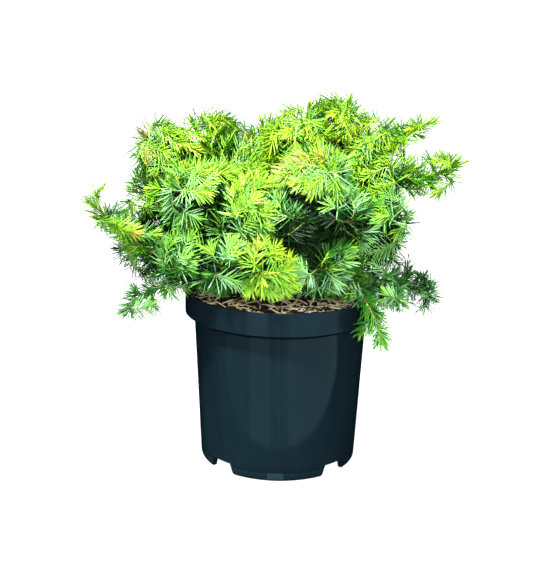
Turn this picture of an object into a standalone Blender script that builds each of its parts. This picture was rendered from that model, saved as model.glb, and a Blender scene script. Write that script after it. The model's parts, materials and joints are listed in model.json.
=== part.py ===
"""Potted spreading conifer: a nursery pot, its potting mix, the woody limbs and the needled masses.

Run with: blender --background --python part.py
Metres, +Z up. The origin is on the floor, on the pot's axis. -Y is the front.
"""

import math
from collections import namedtuple

import bmesh
import bpy
import numpy as np
from mathutils import Matrix

MM = 0.001
GAP = 0.3 * MM  # clearance between touching pieces
WELD = 0.002 * MM  # points nearer than this are one

# Pot
RIM_RADIUS = 95.0 * MM
POT_HEIGHT = 174.0 * MM
BAND_HEIGHT = 22.7 * MM
BODY_TOP_RADIUS = 86.0 * MM
BODY_FOOT_RADIUS = 78.3 * MM
WALL = 1.4 * MM
RIM_ROUND = 0.6 * MM
FOOT_ROUND = 4.0 * MM
FOOT_RING_WIDTH = 2.6 * MM
BASE_LIFT = 13.0 * MM
BASE_THICKNESS = 1.6 * MM
POT_STEPS = 36
NOTCH_COUNT = 4
NOTCH_HEIGHT = 12.0 * MM
NOTCH_TOP_HALF = 12.0 * MM
NOTCH_FOOT_HALF = 17.0 * MM
DRAIN_RADIUS = 5.0 * MM
DRAIN_CIRCLE = 46.0 * MM
DRAIN_COUNT = 4
DRAIN_TURN = math.radians(7)

# Potting mix
SOIL_DEPTH_BELOW_RIM = 9.0 * MM
SOIL_ROUGHNESS = 2.2 * MM
SOIL_FLAT_RADIUS = 16.0 * MM
SOIL_TOP_RINGS = 4

# Trunk, from its cut at the soil to its tip
TRUNK_TOP = (-3.0 * MM, 5.0 * MM, POT_HEIGHT + 42.0 * MM)
TRUNK_LEAN = 4.0 * MM
TRUNK_RADIUS = 9.0 * MM
TRUNK_TIP_RADIUS = 7.2 * MM
ROOT_FLARE = 5.5 * MM
ROOT_FLARE_HEIGHT = 9.0 * MM
TRUNK_SIDES = 12
TRUNK_RINGS = 9

# Boughs
LEADER_COUNT = 3  # boughs that start on the trunk's tip, where it forks
LEADER_OFFSET = 4.3 * MM
LEADER_RADIUS = 3.5 * MM
LEADER_TIP_RADIUS = 2.9 * MM
BOUGH_RADIUS = 3.3 * MM
BOUGH_TO_PARENT = 0.82  # a bough is no thicker than this share of its parent
BOUGH_TAPER = 0.82
BOUGH_SIDES = 6
BOUGH_RINGS = 5
SEAT_GAP = 0.45 * MM  # between the round of a parent and the bough cut to fit it
BOUGH_LEAVING = 0.45  # how far a bough keeps to its parent's direction as it leaves
SEAT_SLIDE = 16.0 * MM  # furthest that a bough's foot is cut back or drawn out to fit its parent
LIMB_SAMPLES = 60

# Masses of foliage
CROWN_HALF_WIDTH = 185.0 * MM
CROWN_HALF_DEPTH = 130.0 * MM
STEM_RADIUS = 1.3 * MM
STEM_TIP_RADIUS = 0.6 * MM
STEM_SIDES = 3
STEM_OFFSET = 1.6 * MM  # a mass's stem from the middle of its bough's cut tip
STEM_SAMPLES = 80
RIM_ARCH = 30.0 * MM  # stems whose tips are lower than this above the rim arch over it
CORE_START = 0.10
CORE_END = 0.90
CORE_RINGS = 5
CORE_SIDES = 6
CORE_WIDTH = 0.52  # the core's greatest radius for a mass's spread
CORE_LEAN = 1.25  # over 1, the core is fullest nearer its tip
SIDE_SHOOT_WIDTH = 9.5 * MM  # a mass has a side shoot for each such width of its spread
SIDE_SHOOT_RADIUS = 1.0 * MM
SIDE_ANGLE = math.radians(50)
SIDE_START = 0.26
SIDE_END = 0.94
SIDE_TAPER = 0.30  # how much shorter the last side shoot is than the first
SIDE_LIFT = 0.20  # how far a side shoot turns up over its length
TURN_PER_SHOOT = math.radians(137.5)
WHORL_SPACING = 9.0 * MM
WHORL_TWIST = math.radians(22)
NEEDLE_LENGTH = 17.0 * MM
NEEDLE_ANGLE_FOOT = math.radians(62)
NEEDLE_ANGLE_TIP = math.radians(26)
SPACE_MARGIN = 2.8 * MM  # how much nearer its own stem than any other a point of a mass lies
CLEAR = 1.5 * MM  # needles from limbs, pot and mix
CORE_CLEAR = 5.0 * MM
CORE_MARGIN = 7.0 * MM
SHORTEST_SHOOT = 2  # whorls
SEED = 7
ATTEMPTS = 10  # arrangements tried until a mass is one sound closed body

# The crown. A bough leaves its parent at a share of the parent's length, or stands on its tip at a
# share of 1.0, and forks at a share of the way to its two masses. A mass is its stem's tip, as across,
# deep and above the rim, and its spread, in mm.
Bough = namedtuple("Bough", "name parent share fork masses")
Mass = namedtuple("Mass", "name across deep above spread")
CROWN = (
    Bough("leader_back", "trunk", 1.0, 0.30, (
        Mass("centre_top", -22, 34, 164, 42),
        Mass("back_top", 26, 78, 138, 46),
    )),
    Bough("leader_left", "trunk", 1.0, 0.30, (
        Mass("left_top", -92, 10, 165, 46),
        Mass("left_inner", -56, -16, 141, 42),
    )),
    Bough("leader_right", "trunk", 1.0, 0.30, (
        Mass("right_top", 64, 4, 187, 50),
        Mass("right_top_left", 24, -10, 183, 46),
    )),
    Bough("bough_left_upper", "leader_left", 0.62, 0.30, (
        Mass("left_shoulder", -141, 0, 153, 44),
        Mass("left_front", -104, -70, 114, 44),
    )),
    Bough("bough_left_arm", "trunk", 0.76, 0.30, (
        Mass("left_arm", -181, -58, 96, 36),
        Mass("left_side", -164, -6, 38, 44),
    )),
    Bough("bough_left_low", "trunk", 0.30, 0.34, (
        Mass("left_droop", -151, -62, -14, 30),
        Mass("left_low", -108, -80, 36, 46),
    )),
    Bough("bough_front_left", "trunk", 0.66, 0.30, (
        Mass("front_low", -66, -100, 36, 42),
        Mass("front_upper", -38, -88, 102, 50),
    )),
    Bough("bough_front", "trunk", 0.40, 0.30, (
        Mass("front_bright", -16, -108, 36, 46),
        Mass("front_middle", 14, -96, 92, 50),
    )),
    Bough("bough_front_right", "trunk", 0.80, 0.30, (
        Mass("front_right", 46, -102, 44, 44),
        Mass("rim_hanger", 94, -84, -34, 30),
    )),
    Bough("bough_right_upper", "leader_right", 0.78, 0.30, (
        Mass("right_front", 40, -78, 132, 50),
        Mass("right_shoulder", 104, 4, 166, 44),
    )),
    Bough("bough_right_inner", "leader_right", 0.22, 0.30, (
        Mass("front_right_upper", 68, -92, 88, 46),
        Mass("right_inner", 125, -20, 127, 42),
    )),
    Bough("bough_right_arm", "leader_right", 0.48, 0.34, (
        Mass("right_arm", 174, -10, 130, 30),
        Mass("right_arm_upper", 150, 14, 167, 26),
    )),
    Bough("bough_right_side", "trunk", 0.58, 0.30, (
        Mass("right_middle", 118, -56, 86, 44),
        Mass("right_side", 121, 8, 56, 44),
    )),
    Bough("bough_right_low", "trunk", 0.20, 0.36, (
        Mass("right_droop_outer", 152, -24, -4, 34),
        Mass("right_droop_inner", 116, -66, -1, 32),
    )),
    Bough("bough_back_left", "leader_back", 0.85, 0.30, (
        Mass("back_left_upper", -100, 72, 118, 46),
        Mass("back_left_side", -157, 32, 91, 46),
    )),
    Bough("bough_back_middle", "trunk", 0.74, 0.30, (
        Mass("back_middle", -32, 106, 92, 44),
        Mass("back_low", 6, 108, 42, 42),
    )),
    Bough("bough_back_right", "leader_back", 0.45, 0.30, (
        Mass("back_right_upper", 92, 66, 124, 46),
        Mass("back_right_side", 116, 70, 70, 44),
    )),
    Bough("bough_back_low_left", "trunk", 0.46, 0.30, (
        Mass("back_left_low", -96, 84, 10, 40),
        Mass("back_left_middle", -54, 100, 36, 40),
    )),
    Bough("bough_back_low_right", "trunk", 0.30, 0.30, (
        Mass("back_right_low", 106, 74, 10, 40),
        Mass("back_right_middle", 64, 100, 34, 40),
    )),
)
# How far the stems of some masses bow at their middle: across, deep and above, in mm
BOWS = {
    "left_arm": (0, 0, -29),
    "left_droop": (6, 0, -8),
    "rim_hanger": (4, 0, 0),
    "right_arm": (0, 0, -6),
    "right_arm_upper": (0, 0, 14),
    "right_droop_outer": (0, 0, -9),
}

POT_COLOUR = (0.012, 0.030, 0.040)
SOIL_COLOUR = (0.050, 0.030, 0.018)
BARK_COLOUR = (0.150, 0.080, 0.045)
LIME_COLOUR = (0.300, 0.560, 0.030)
GREEN_COLOUR = (0.080, 0.330, 0.060)
LIME_HEIGHT = POT_HEIGHT + 100 * MM  # masses whose tips are above this are mostly new growth

Limb = namedtuple("Limb", "points radii")


# Scene, materials and objects

def clear_scene():
    for obj in list(bpy.data.objects):
        bpy.data.objects.remove(obj, do_unlink=True)


def material(name, colour, roughness):
    made = bpy.data.materials.new(name)
    made.use_nodes = True
    shader = made.node_tree.nodes["Principled BSDF"]
    shader.inputs["Base Color"].default_value = (*colour, 1.0)
    shader.inputs["Roughness"].default_value = roughness
    shader.inputs["Metallic"].default_value = 0.0
    return made


def object_from(name, bm, finish=None):
    """The bmesh as a new object in the scene, in triangles with their faces pointing out."""
    bmesh.ops.recalc_face_normals(bm, faces=bm.faces)
    bmesh.ops.triangulate(bm, faces=bm.faces)
    mesh = bpy.data.meshes.new(name)
    bm.to_mesh(mesh)
    bm.free()
    obj = bpy.data.objects.new(name, mesh)
    bpy.context.scene.collection.objects.link(obj)
    if finish:
        mesh.materials.append(finish)
    return obj


def apply_boolean(obj, operation, others):
    """Joins or cuts obj with the other objects by one Boolean on a collection, and removes them."""
    tools = bpy.data.collections.new(obj.name + "_tools")
    bpy.context.scene.collection.children.link(tools)
    for other in others:
        bpy.context.scene.collection.objects.unlink(other)
        tools.objects.link(other)
    modifier = obj.modifiers.new(operation.title(), "BOOLEAN")
    modifier.operation = operation
    modifier.operand_type = "COLLECTION"
    modifier.collection = tools
    modifier.solver = "EXACT"
    bpy.context.view_layer.update()
    graph = bpy.context.evaluated_depsgraph_get()
    made = bpy.data.meshes.new_from_object(obj.evaluated_get(graph))
    obj.modifiers.clear()
    obj.data = made
    for other in others:
        bpy.data.objects.remove(other, do_unlink=True)
    bpy.data.collections.remove(tools)


def cleaned(obj):
    """Drops loose scraps and the skins of sealed hollows, and tells whether a sound closed body is left."""
    bm = bmesh.new()
    bm.from_mesh(obj.data)
    bmesh.ops.remove_doubles(bm, verts=bm.verts, dist=WELD)
    unseen = set(bm.verts)
    bodies = []
    while unseen:
        body = {unseen.pop()}
        edge = list(body)
        while edge:
            near = {e.other_vert(v) for v in edge for e in v.link_edges} - body
            body |= near
            edge = list(near)
        unseen -= body
        bodies.append(body)
    largest = max(bodies, key=len)
    loose = [v for body in bodies if body is not largest for v in body]
    bmesh.ops.delete(bm, geom=loose, context="VERTS")
    bmesh.ops.triangulate(bm, faces=bm.faces)
    sound = all(len(edge.link_faces) == 2 and edge.calc_length() > WELD for edge in bm.edges)
    bm.to_mesh(obj.data)
    bm.free()
    return sound


def turned(name, profile, steps, finish=None):
    """A solid of revolution about Z. The profile is (radius, height), and starts and ends on the axis."""
    bm = bmesh.new()
    verts = [bm.verts.new((radius, 0, height)) for radius, height in profile]
    edges = [bm.edges.new(pair) for pair in zip(verts, verts[1:])]
    bmesh.ops.spin(bm, geom=verts + edges, cent=(0, 0, 0), axis=(0, 0, 1), angle=math.tau, steps=steps)
    bmesh.ops.remove_doubles(bm, verts=bm.verts, dist=1e-6)
    return object_from(name, bm, finish)


# Pot and potting mix

def body_radius(height):
    """The pot body's outer radius: a straight taper from foot to band."""
    share = height / (POT_HEIGHT - BAND_HEIGHT)
    return BODY_FOOT_RADIUS + (BODY_TOP_RADIUS - BODY_FOOT_RADIUS) * share


def pot_profile():
    """Down the outside from the rim, round the foot, under the raised base, and up the inside."""
    step = POT_HEIGHT - BAND_HEIGHT
    floor_top = BASE_LIFT + BASE_THICKNESS
    corner_centre = body_radius(FOOT_ROUND) - FOOT_ROUND
    outside = [
        (RIM_RADIUS - RIM_ROUND, POT_HEIGHT),
        (RIM_RADIUS, POT_HEIGHT - RIM_ROUND),
        (RIM_RADIUS - RIM_ROUND, step + RIM_ROUND),
        (RIM_RADIUS - 2 * RIM_ROUND, step),
        (body_radius(step), step),
    ]
    corner = [
        (corner_centre + FOOT_ROUND * math.cos(a), FOOT_ROUND - FOOT_ROUND * math.sin(a))
        for a in np.linspace(0, math.pi / 2, 4)
    ]
    under = [
        (corner[-1][0] - FOOT_RING_WIDTH, 0),
        (corner[-1][0] - FOOT_RING_WIDTH, BASE_LIFT),
        (0, BASE_LIFT),
    ]
    inside = [
        (RIM_RADIUS - WALL - RIM_ROUND, POT_HEIGHT),
        (RIM_RADIUS - WALL - RIM_ROUND, step + WALL),
        (body_radius(step) - WALL, step + WALL),
        (body_radius(floor_top) - WALL, floor_top),
        (0, floor_top),
    ]
    return inside[::-1] + outside + corner + under


def notch_cutter(turn):
    """A wedge that opens a drainage notch, wider at the floor, through the foot ring."""
    bm = bmesh.new()
    outline = [
        (-NOTCH_FOOT_HALF, -FOOT_ROUND),
        (NOTCH_FOOT_HALF, -FOOT_ROUND),
        (NOTCH_TOP_HALF, NOTCH_HEIGHT),
        (-NOTCH_TOP_HALF, NOTCH_HEIGHT),
    ]
    near = 0.8 * BODY_FOOT_RADIUS
    face = bm.faces.new([bm.verts.new((near, y, z)) for y, z in outline])
    grown = bmesh.ops.extrude_face_region(bm, geom=[face])
    moved = [v for v in grown["geom"] if isinstance(v, bmesh.types.BMVert)]
    bmesh.ops.translate(bm, vec=(0.4 * BODY_FOOT_RADIUS, 0, 0), verts=moved)
    bmesh.ops.rotate(bm, cent=(0, 0, 0), matrix=Matrix.Rotation(turn, 3, "Z"), verts=bm.verts)
    return object_from("notch_cutter", bm)


def drain_cutter(x, y):
    bm = bmesh.new()
    at = Matrix.Translation((x, y, BASE_LIFT + BASE_THICKNESS / 2)) @ Matrix.Rotation(DRAIN_TURN, 4, "Z")
    bmesh.ops.create_cone(
        bm, cap_ends=True, segments=10, radius1=DRAIN_RADIUS, radius2=DRAIN_RADIUS,
        depth=4 * BASE_THICKNESS, matrix=at,
    )
    return object_from("drain_cutter", bm)


def make_pot(finish):
    pot = turned("pot", pot_profile(), POT_STEPS, finish)
    quarter = math.tau / NOTCH_COUNT
    cutters = [notch_cutter(quarter * (k + 0.5)) for k in range(NOTCH_COUNT)]
    cutters.append(drain_cutter(0, 0))
    for k in range(DRAIN_COUNT):
        turn = math.tau * k / DRAIN_COUNT + DRAIN_TURN
        cutters.append(drain_cutter(DRAIN_CIRCLE * math.cos(turn), DRAIN_CIRCLE * math.sin(turn)))
    apply_boolean(pot, "DIFFERENCE", cutters)


def make_soil(finish):
    """The mix fills the pot to just under the rim, with a flat seat for the trunk and a rough top."""
    top = POT_HEIGHT - SOIL_DEPTH_BELOW_RIM
    step = POT_HEIGHT - BAND_HEIGHT + WALL + GAP
    floor = BASE_LIFT + BASE_THICKNESS + GAP
    brim = RIM_RADIUS - WALL - RIM_ROUND - GAP
    surface = [(r, top) for r in np.linspace(SOIL_FLAT_RADIUS, brim, SOIL_TOP_RINGS)]
    buried = [
        (brim, step),
        (body_radius(step) - WALL - 2 * GAP, step),
        (body_radius(floor) - WALL - 2 * GAP, floor),
        (0, floor),
    ]
    soil = turned("soil", [(0, top)] + surface + buried, POT_STEPS, finish)
    rng = np.random.default_rng(SEED)
    for vert in soil.data.vertices:
        radius = math.hypot(vert.co.x, vert.co.y)
        if vert.co.z > top - GAP and radius > SOIL_FLAT_RADIUS + GAP:
            vert.co.z += rng.uniform(-1, 1) * SOIL_ROUGHNESS


# Curves and tubes

def unit(vector):
    return vector / max(np.linalg.norm(vector), 1e-12)


def arc(start, leaving, arriving, end, count):
    """Points on a smooth curve between two ends, with its directions there."""
    reach = 0.38 * np.linalg.norm(end - start)
    p1, p2 = start + unit(leaving) * reach, end - unit(arriving) * reach
    t = np.linspace(0, 1, count)[:, None]
    return (1 - t) ** 3 * start + 3 * t * (1 - t) ** 2 * p1 + 3 * t ** 2 * (1 - t) * p2 + t ** 3 * end


def tangents(points):
    ahead = np.gradient(points, axis=0)
    return ahead / np.linalg.norm(ahead, axis=1)[:, None]


def sides_of(points):
    """Two directions square to the curve at each point, carried along it without twist."""
    along = tangents(points)
    first = np.cross(along[0], [0.0, 0.0, 1.0] if abs(along[0][2]) < 0.9 else [1.0, 0.0, 0.0])
    carried = [unit(first)]
    for direction in along[1:]:
        carried.append(unit(carried[-1] - direction * (carried[-1] @ direction)))
    across = np.array(carried)
    return along, across, np.cross(along, across)


def rings_of(points, radii, sides, twist=0.0):
    """One ring of points for each point of the curve."""
    _, across, over = sides_of(points)
    rings = []
    for k, centre in enumerate(points):
        turn = math.tau * np.arange(sides)[:, None] / sides + twist * k
        rings.append(centre + radii[k] * (np.cos(turn) * across[k] + np.sin(turn) * over[k]))
    return rings


def flattened(ring, at, along):
    """The ring moved along a direction onto the plane square to it."""
    return ring - np.outer((ring - at) @ along, along)


def resample(points, count):
    """The curve again, as evenly spaced points."""
    length = np.concatenate([[0], np.cumsum(np.linalg.norm(np.diff(points, axis=0), axis=1))])
    at = np.linspace(0, length[-1], count)
    return np.stack([np.interp(at, length, points[:, k]) for k in range(3)], axis=1)


def length_of(points):
    return float(np.linalg.norm(np.diff(points, axis=0), axis=1).sum())


def tube(name, rings, ends, finish):
    """A closed tube through the rings, with a fan to a point at each end."""
    bm = bmesh.new()
    rows = [[bm.verts.new(v) for v in ring] for ring in rings]
    sides = len(rows[0])
    for lower, upper in zip(rows, rows[1:]):
        for k in range(sides):
            bm.faces.new((lower[k], lower[(k + 1) % sides], upper[(k + 1) % sides], upper[k]))
    for row, end in zip((rows[0], rows[-1]), ends):
        middle = bm.verts.new(end)
        for k in range(sides):
            bm.faces.new((row[k], row[(k + 1) % sides], middle))
    return object_from(name, bm, finish)


# Trunk and boughs

def make_trunk(finish):
    """A short leaning trunk with a root flare, from its flat cut on the soil."""
    foot = np.array([0.0, 0.0, POT_HEIGHT - SOIL_DEPTH_BELOW_RIM + GAP])
    top = np.array(TRUNK_TOP)
    lean = np.array([TRUNK_LEAN, 0.0, 0.0])
    t = np.linspace(0, 1, TRUNK_RINGS)[:, None]
    points = foot + (top - foot) * t + lean * np.sin(math.pi * t)
    heights = points[:, 2] - foot[2]
    taper = TRUNK_RADIUS + (TRUNK_TIP_RADIUS - TRUNK_RADIUS) * t[:, 0]
    radii = taper + ROOT_FLARE * np.exp(-heights / ROOT_FLARE_HEIGHT)
    rings = rings_of(points, radii, TRUNK_SIDES)
    rings[0][:, 2] = foot[2]
    tube("trunk", rings, (points[0], points[-1]), finish)
    return Limb(points, radii)


def place_on(limb, share):
    """Point, direction and radius of a limb at a share of its length."""
    at = share * (len(limb.points) - 1)
    low = min(int(at), len(limb.points) - 2)
    part = at - low
    point = limb.points[low] * (1 - part) + limb.points[low + 1] * part
    radius = limb.radii[low] * (1 - part) + limb.radii[low + 1] * part
    return point, unit(limb.points[low + 1] - limb.points[low]), radius


def samples_of(limb):
    """Close points along a limb's middle, and its radius at each."""
    share = np.linspace(0, 1, LIMB_SAMPLES)
    radii = np.interp(share, np.linspace(0, 1, len(limb.radii)), limb.radii)
    return resample(limb.points, LIMB_SAMPLES), radii


def clearance(points, limb):
    """How far points lie outside a limb's round surface."""
    middle, radii = samples_of(limb)
    apart = np.linalg.norm(np.asarray(points)[:, None] - middle, axis=2)
    return (apart - radii).min(axis=1)


def seat(ring, along, parent):
    """Slides each point of a bough's first ring along the bough until it just clears its parent's side."""
    slides = np.arange(-SEAT_SLIDE, SEAT_SLIDE, 0.1 * MM)
    seated = []
    for point in ring:
        path = point + slides[:, None] * along
        clear = clearance(path, parent)
        seated.append(path[1 + np.flatnonzero(clear <= max(SEAT_GAP, clear.min()))[-1]])
    return np.array(seated)


def tip_of(mass):
    return np.array([mass.across, mass.deep, mass.above]) * MM + [0, 0, POT_HEIGHT]


def leader_start(trunk, place):
    """Where a leader stands on the trunk's flat tip, and its direction there."""
    turn = math.pi / 2 + math.tau * place / LEADER_COUNT
    along, across, over = (side[-1] for side in sides_of(trunk.points))
    offset = LEADER_OFFSET * (math.cos(turn) * np.array([1, 0, 0]) + math.sin(turn) * np.array([0, 1, 0]))
    offset = offset - along * (offset @ along)
    return trunk.points[-1] + offset + along * GAP, along


def make_leader(bough, trunk, place, finish):
    """One tapering limb from the fork at the trunk's tip to the fork that carries its masses."""
    start, along = leader_start(trunk, place)
    goal = np.mean([tip_of(mass) for mass in bough.masses], axis=0)
    curve = arc(start, along, goal - start, start + (goal - start) * bough.fork, 60)
    points = resample(curve, BOUGH_RINGS)
    radii = np.linspace(LEADER_RADIUS, LEADER_TIP_RADIUS, BOUGH_RINGS)
    rings = rings_of(points, radii, BOUGH_SIDES)
    rings[0] = flattened(rings[0], start, along)
    tube(bough.name, rings, (points[0], points[-1]), finish)
    return Limb(points, radii)


def make_bough(bough, parent, finish):
    """One tapering limb, seated on its parent's side, to the fork that carries its masses."""
    foot, parent_along, parent_radius = place_on(parent, bough.share)
    base = min(BOUGH_RADIUS, BOUGH_TO_PARENT * parent_radius)
    goal = np.mean([tip_of(mass) for mass in bough.masses], axis=0)
    leaving = unit(goal - foot) + parent_along * BOUGH_LEAVING
    curve = arc(foot, leaving, goal - foot, foot + (goal - foot) * bough.fork, 60)
    outside = curve[clearance(curve, parent) > SEAT_GAP + 0.5 * base]
    points = resample(outside, BOUGH_RINGS)
    radii = np.linspace(base, BOUGH_TAPER * base, BOUGH_RINGS)
    rings = rings_of(points, radii, BOUGH_SIDES)
    first = seat(np.vstack([rings[0], points[:1]]), tangents(points)[0], parent)
    rings[0] = first[:-1]
    tube(bough.name, rings, (first[-1], points[-1]), finish)
    return Limb(points, radii)


# Foliage

def stem_curve(mass, limb, side):
    """A mass's stem, from its place on the bough's cut tip to its own tip."""
    out = tangents(limb.points)[-1]
    tip = tip_of(mass)
    start = limb.points[-1] + side * STEM_OFFSET + out * GAP
    apart = np.linalg.norm(tip - start)
    droop = max(0.0, RIM_ARCH - (tip[2] - POT_HEIGHT)) / RIM_ARCH
    leaving = out + np.array([0, 0, droop])
    arriving = (tip - start) + out * 0.3 * apart - np.array([0, 0, 2.0 * droop * apart])
    curve = arc(start, leaving, arriving, tip, 40)
    share = np.linspace(0, 1, len(curve))[:, None]
    curve = curve + 4 * share * (1 - share) * np.array(BOWS.get(mass.name, (0, 0, 0))) * MM
    count = max(4, round(length_of(curve) / WHORL_SPACING))
    return resample(curve, count + 1)


def fork_sides(bough, limb):
    """Where each of a bough's masses starts on its tip: one to each side, towards its own mass."""
    out = tangents(limb.points)[-1]
    apart = (tip_of(bough.masses[0]) - tip_of(bough.masses[1])) * [1, 1, 0]
    apart = unit(apart - out * (apart @ out))
    return apart, -apart


def side_shoots(stem, mass, rng):
    """The curves of a mass's side shoots, by turns round its stem."""
    along, across, over = sides_of(stem)
    turn = rng.uniform(0, math.tau)
    count = round(mass.spread * MM / SIDE_SHOOT_WIDTH)
    for k in range(count):
        share = SIDE_START + (SIDE_END - SIDE_START) * (k + rng.uniform(0.2, 0.8)) / count
        at = round(share * (len(stem) - 1))
        turn += TURN_PER_SHOOT + rng.uniform(-0.3, 0.3)
        radial = math.cos(turn) * across[at] + math.sin(turn) * over[at]
        angle = SIDE_ANGLE * rng.uniform(0.85, 1.15)
        leaving = math.cos(angle) * along[at] + math.sin(angle) * radial
        reach = mass.spread * MM * (1 - SIDE_TAPER * share) * rng.uniform(0.9, 1.15)
        arriving = leaving + along[at] * 0.3 + np.array([0, 0, SIDE_LIFT * 2])
        end = stem[at] + reach * unit(leaving + [0, 0, SIDE_LIFT])
        curve = arc(stem[at], leaving, arriving, end, 30)
        yield resample(curve, max(3, round(length_of(curve) / WHORL_SPACING) + 1))


class Space:
    """What the points of a mass keep clear of: the other masses' space, the limbs, the pot and the mix."""

    def __init__(self, stems, limbs):
        self.names = list(stems)
        self.stems = np.stack([resample(curve, STEM_SAMPLES) for curve in stems.values()])
        samples = [samples_of(limb) for limb in limbs]
        self.limb_points = np.concatenate([points for points, _ in samples])
        self.limb_radii = np.concatenate([radii for _, radii in samples])

    def holds(self, name, points, margin, clear=CLEAR):
        """Whether each point is nearer the mass's stem than any other by the margin, and clear of the rest."""
        points = np.atleast_2d(points)
        near = np.linalg.norm(points[:, None, None] - self.stems, axis=3).min(axis=2)
        place = self.names.index(name)
        own = near[:, place]
        others = np.delete(near, place, axis=1).min(axis=1)
        to_limbs = np.linalg.norm(points[:, None] - self.limb_points, axis=2) - self.limb_radii
        within_crown = (np.abs(points[:, :2]) < (CROWN_HALF_WIDTH, CROWN_HALF_DEPTH)).all(axis=1)
        nearest_own = (own + margin < others) & within_crown
        return nearest_own & (to_limbs.min(axis=1) > clear) & self.clear_of_pot(points, clear)

    def clear_of_pot(self, points, clear):
        radius = np.hypot(points[:, 0], points[:, 1])
        height = points[:, 2]
        soil_top = POT_HEIGHT - SOIL_DEPTH_BELOW_RIM + SOIL_ROUGHNESS
        over_rim = height > POT_HEIGHT + clear
        outside = radius > RIM_RADIUS + 4 * clear
        within = (radius < RIM_RADIUS - 3 * WALL - clear) & (height > soil_top + clear)
        return over_rim | outside | within


def within_space(points, name, space):
    """The shoot as far as it stays in its mass's space."""
    held = space.holds(name, points[1:], SPACE_MARGIN + STEM_RADIUS)
    return points if held.all() else points[:1 + np.argmin(held)]


def needle_tip(middle, outward, forward, share):
    """Needles lean further forward, and are a little shorter, towards the shoot's tip."""
    angle = NEEDLE_ANGLE_FOOT + (NEEDLE_ANGLE_TIP - NEEDLE_ANGLE_FOOT) * share
    reach = NEEDLE_LENGTH * (1 - 0.25 * share)
    return middle + reach * (math.cos(angle) * forward + math.sin(angle) * outward)


def draw_out(bm, quad, tip):
    """A needle: four faces from the sides of a quad to its tip."""
    point = bm.verts.new(tip)
    for side in range(4):
        bm.faces.new((quad[side], quad[(side + 1) % 4], point))


def needled_shoot(name, points, facing, foot_radius, bare, mass_name, space):
    """A three-sided shoot with a whorl of needles on each length that isn't bare, drawn out of its sides."""
    radii = np.linspace(foot_radius, STEM_TIP_RADIUS, len(points))
    rings = rings_of(points, radii, STEM_SIDES, WHORL_TWIST)
    rings[0] = flattened(rings[0], points[0], facing)
    forward = tangents(points)
    bm = bmesh.new()
    rows = [[bm.verts.new(v) for v in ring] for ring in rings]
    bm.faces.new(rows[0])
    bud = bm.verts.new(points[-1] + forward[-1] * NEEDLE_LENGTH * 0.6)
    for k in range(STEM_SIDES):
        bm.faces.new((rows[-1][k], rows[-1][(k + 1) % STEM_SIDES], bud))
    for whorl, (lower, upper) in enumerate(zip(rows, rows[1:])):
        centre = (points[whorl] + points[whorl + 1]) / 2
        for k in range(STEM_SIDES):
            quad = (lower[k], lower[(k + 1) % STEM_SIDES], upper[(k + 1) % STEM_SIDES], upper[k])
            middle = np.mean([v.co for v in quad], axis=0)
            tip = needle_tip(middle, unit(middle - centre), forward[whorl], whorl / len(points))
            halfway = (middle + tip) / 2
            fits = space.holds(mass_name, [halfway, tip], SPACE_MARGIN).all()
            if bare[whorl] or not fits:
                bm.faces.new(quad)
                continue
            draw_out(bm, quad, tip)
    return object_from(name, bm)


def core_rings(mass, stem, space, rng):
    """Rings round a mass's stem, each point as far out as the mass's own space lets it be."""
    middle = resample(stem, 60)[round(60 * CORE_START):round(60 * CORE_END)]
    middle = resample(middle, CORE_RINGS + 2)
    _, across, over = sides_of(middle)
    reaches = np.arange(1, 40) * MM
    rings = []
    for k in range(1, CORE_RINGS + 1):
        widest = mass.spread * MM * CORE_WIDTH * math.sin(math.pi * (k / (CORE_RINGS + 1)) ** CORE_LEAN)
        ring = []
        for turn in math.tau * np.arange(CORE_SIDES) / CORE_SIDES:
            radial = math.cos(turn) * across[k] + math.sin(turn) * over[k]
            held = space.holds(mass.name, middle[k] + reaches[:, None] * radial, CORE_MARGIN, CORE_CLEAR)
            free = reaches[-1] if held.all() else max(reaches[np.argmin(held)] - MM, 0.8 * STEM_TIP_RADIUS)
            ring.append(middle[k] + min(free, widest * rng.uniform(0.75, 1.0)) * radial)
        rings.append(ring)
    return middle, rings


def make_core(mass, stem, space, rng):
    """The dense middle of a mass: a rough spindle round its stem, with needles drawn out of its sides."""
    middle, rings = core_rings(mass, stem, space, rng)
    forward = tangents(middle)
    bm = bmesh.new()
    rows = [[bm.verts.new(v) for v in ring] for ring in rings]
    for k, (lower, upper) in enumerate(zip(rows, rows[1:])):
        for j in range(CORE_SIDES):
            quad = (lower[j], lower[(j + 1) % CORE_SIDES], upper[(j + 1) % CORE_SIDES], upper[j])
            centre = np.mean([v.co for v in quad], axis=0)
            outward = unit(centre - (middle[k + 1] + middle[k + 2]) / 2)
            tip = needle_tip(centre, outward, forward[k + 1], k / CORE_RINGS)
            fits = space.holds(mass.name, [(centre + tip) / 2, tip], SPACE_MARGIN).all()
            if (j + k) % 2 or not fits:
                bm.faces.new(quad)
            else:
                draw_out(bm, quad, tip)
    for row, end in ((rows[0], middle[0]), (rows[-1], middle[-1])):
        point = bm.verts.new(end)
        for j in range(CORE_SIDES):
            bm.faces.new((row[j], row[(j + 1) % CORE_SIDES], point))
    return object_from("core", bm)


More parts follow.
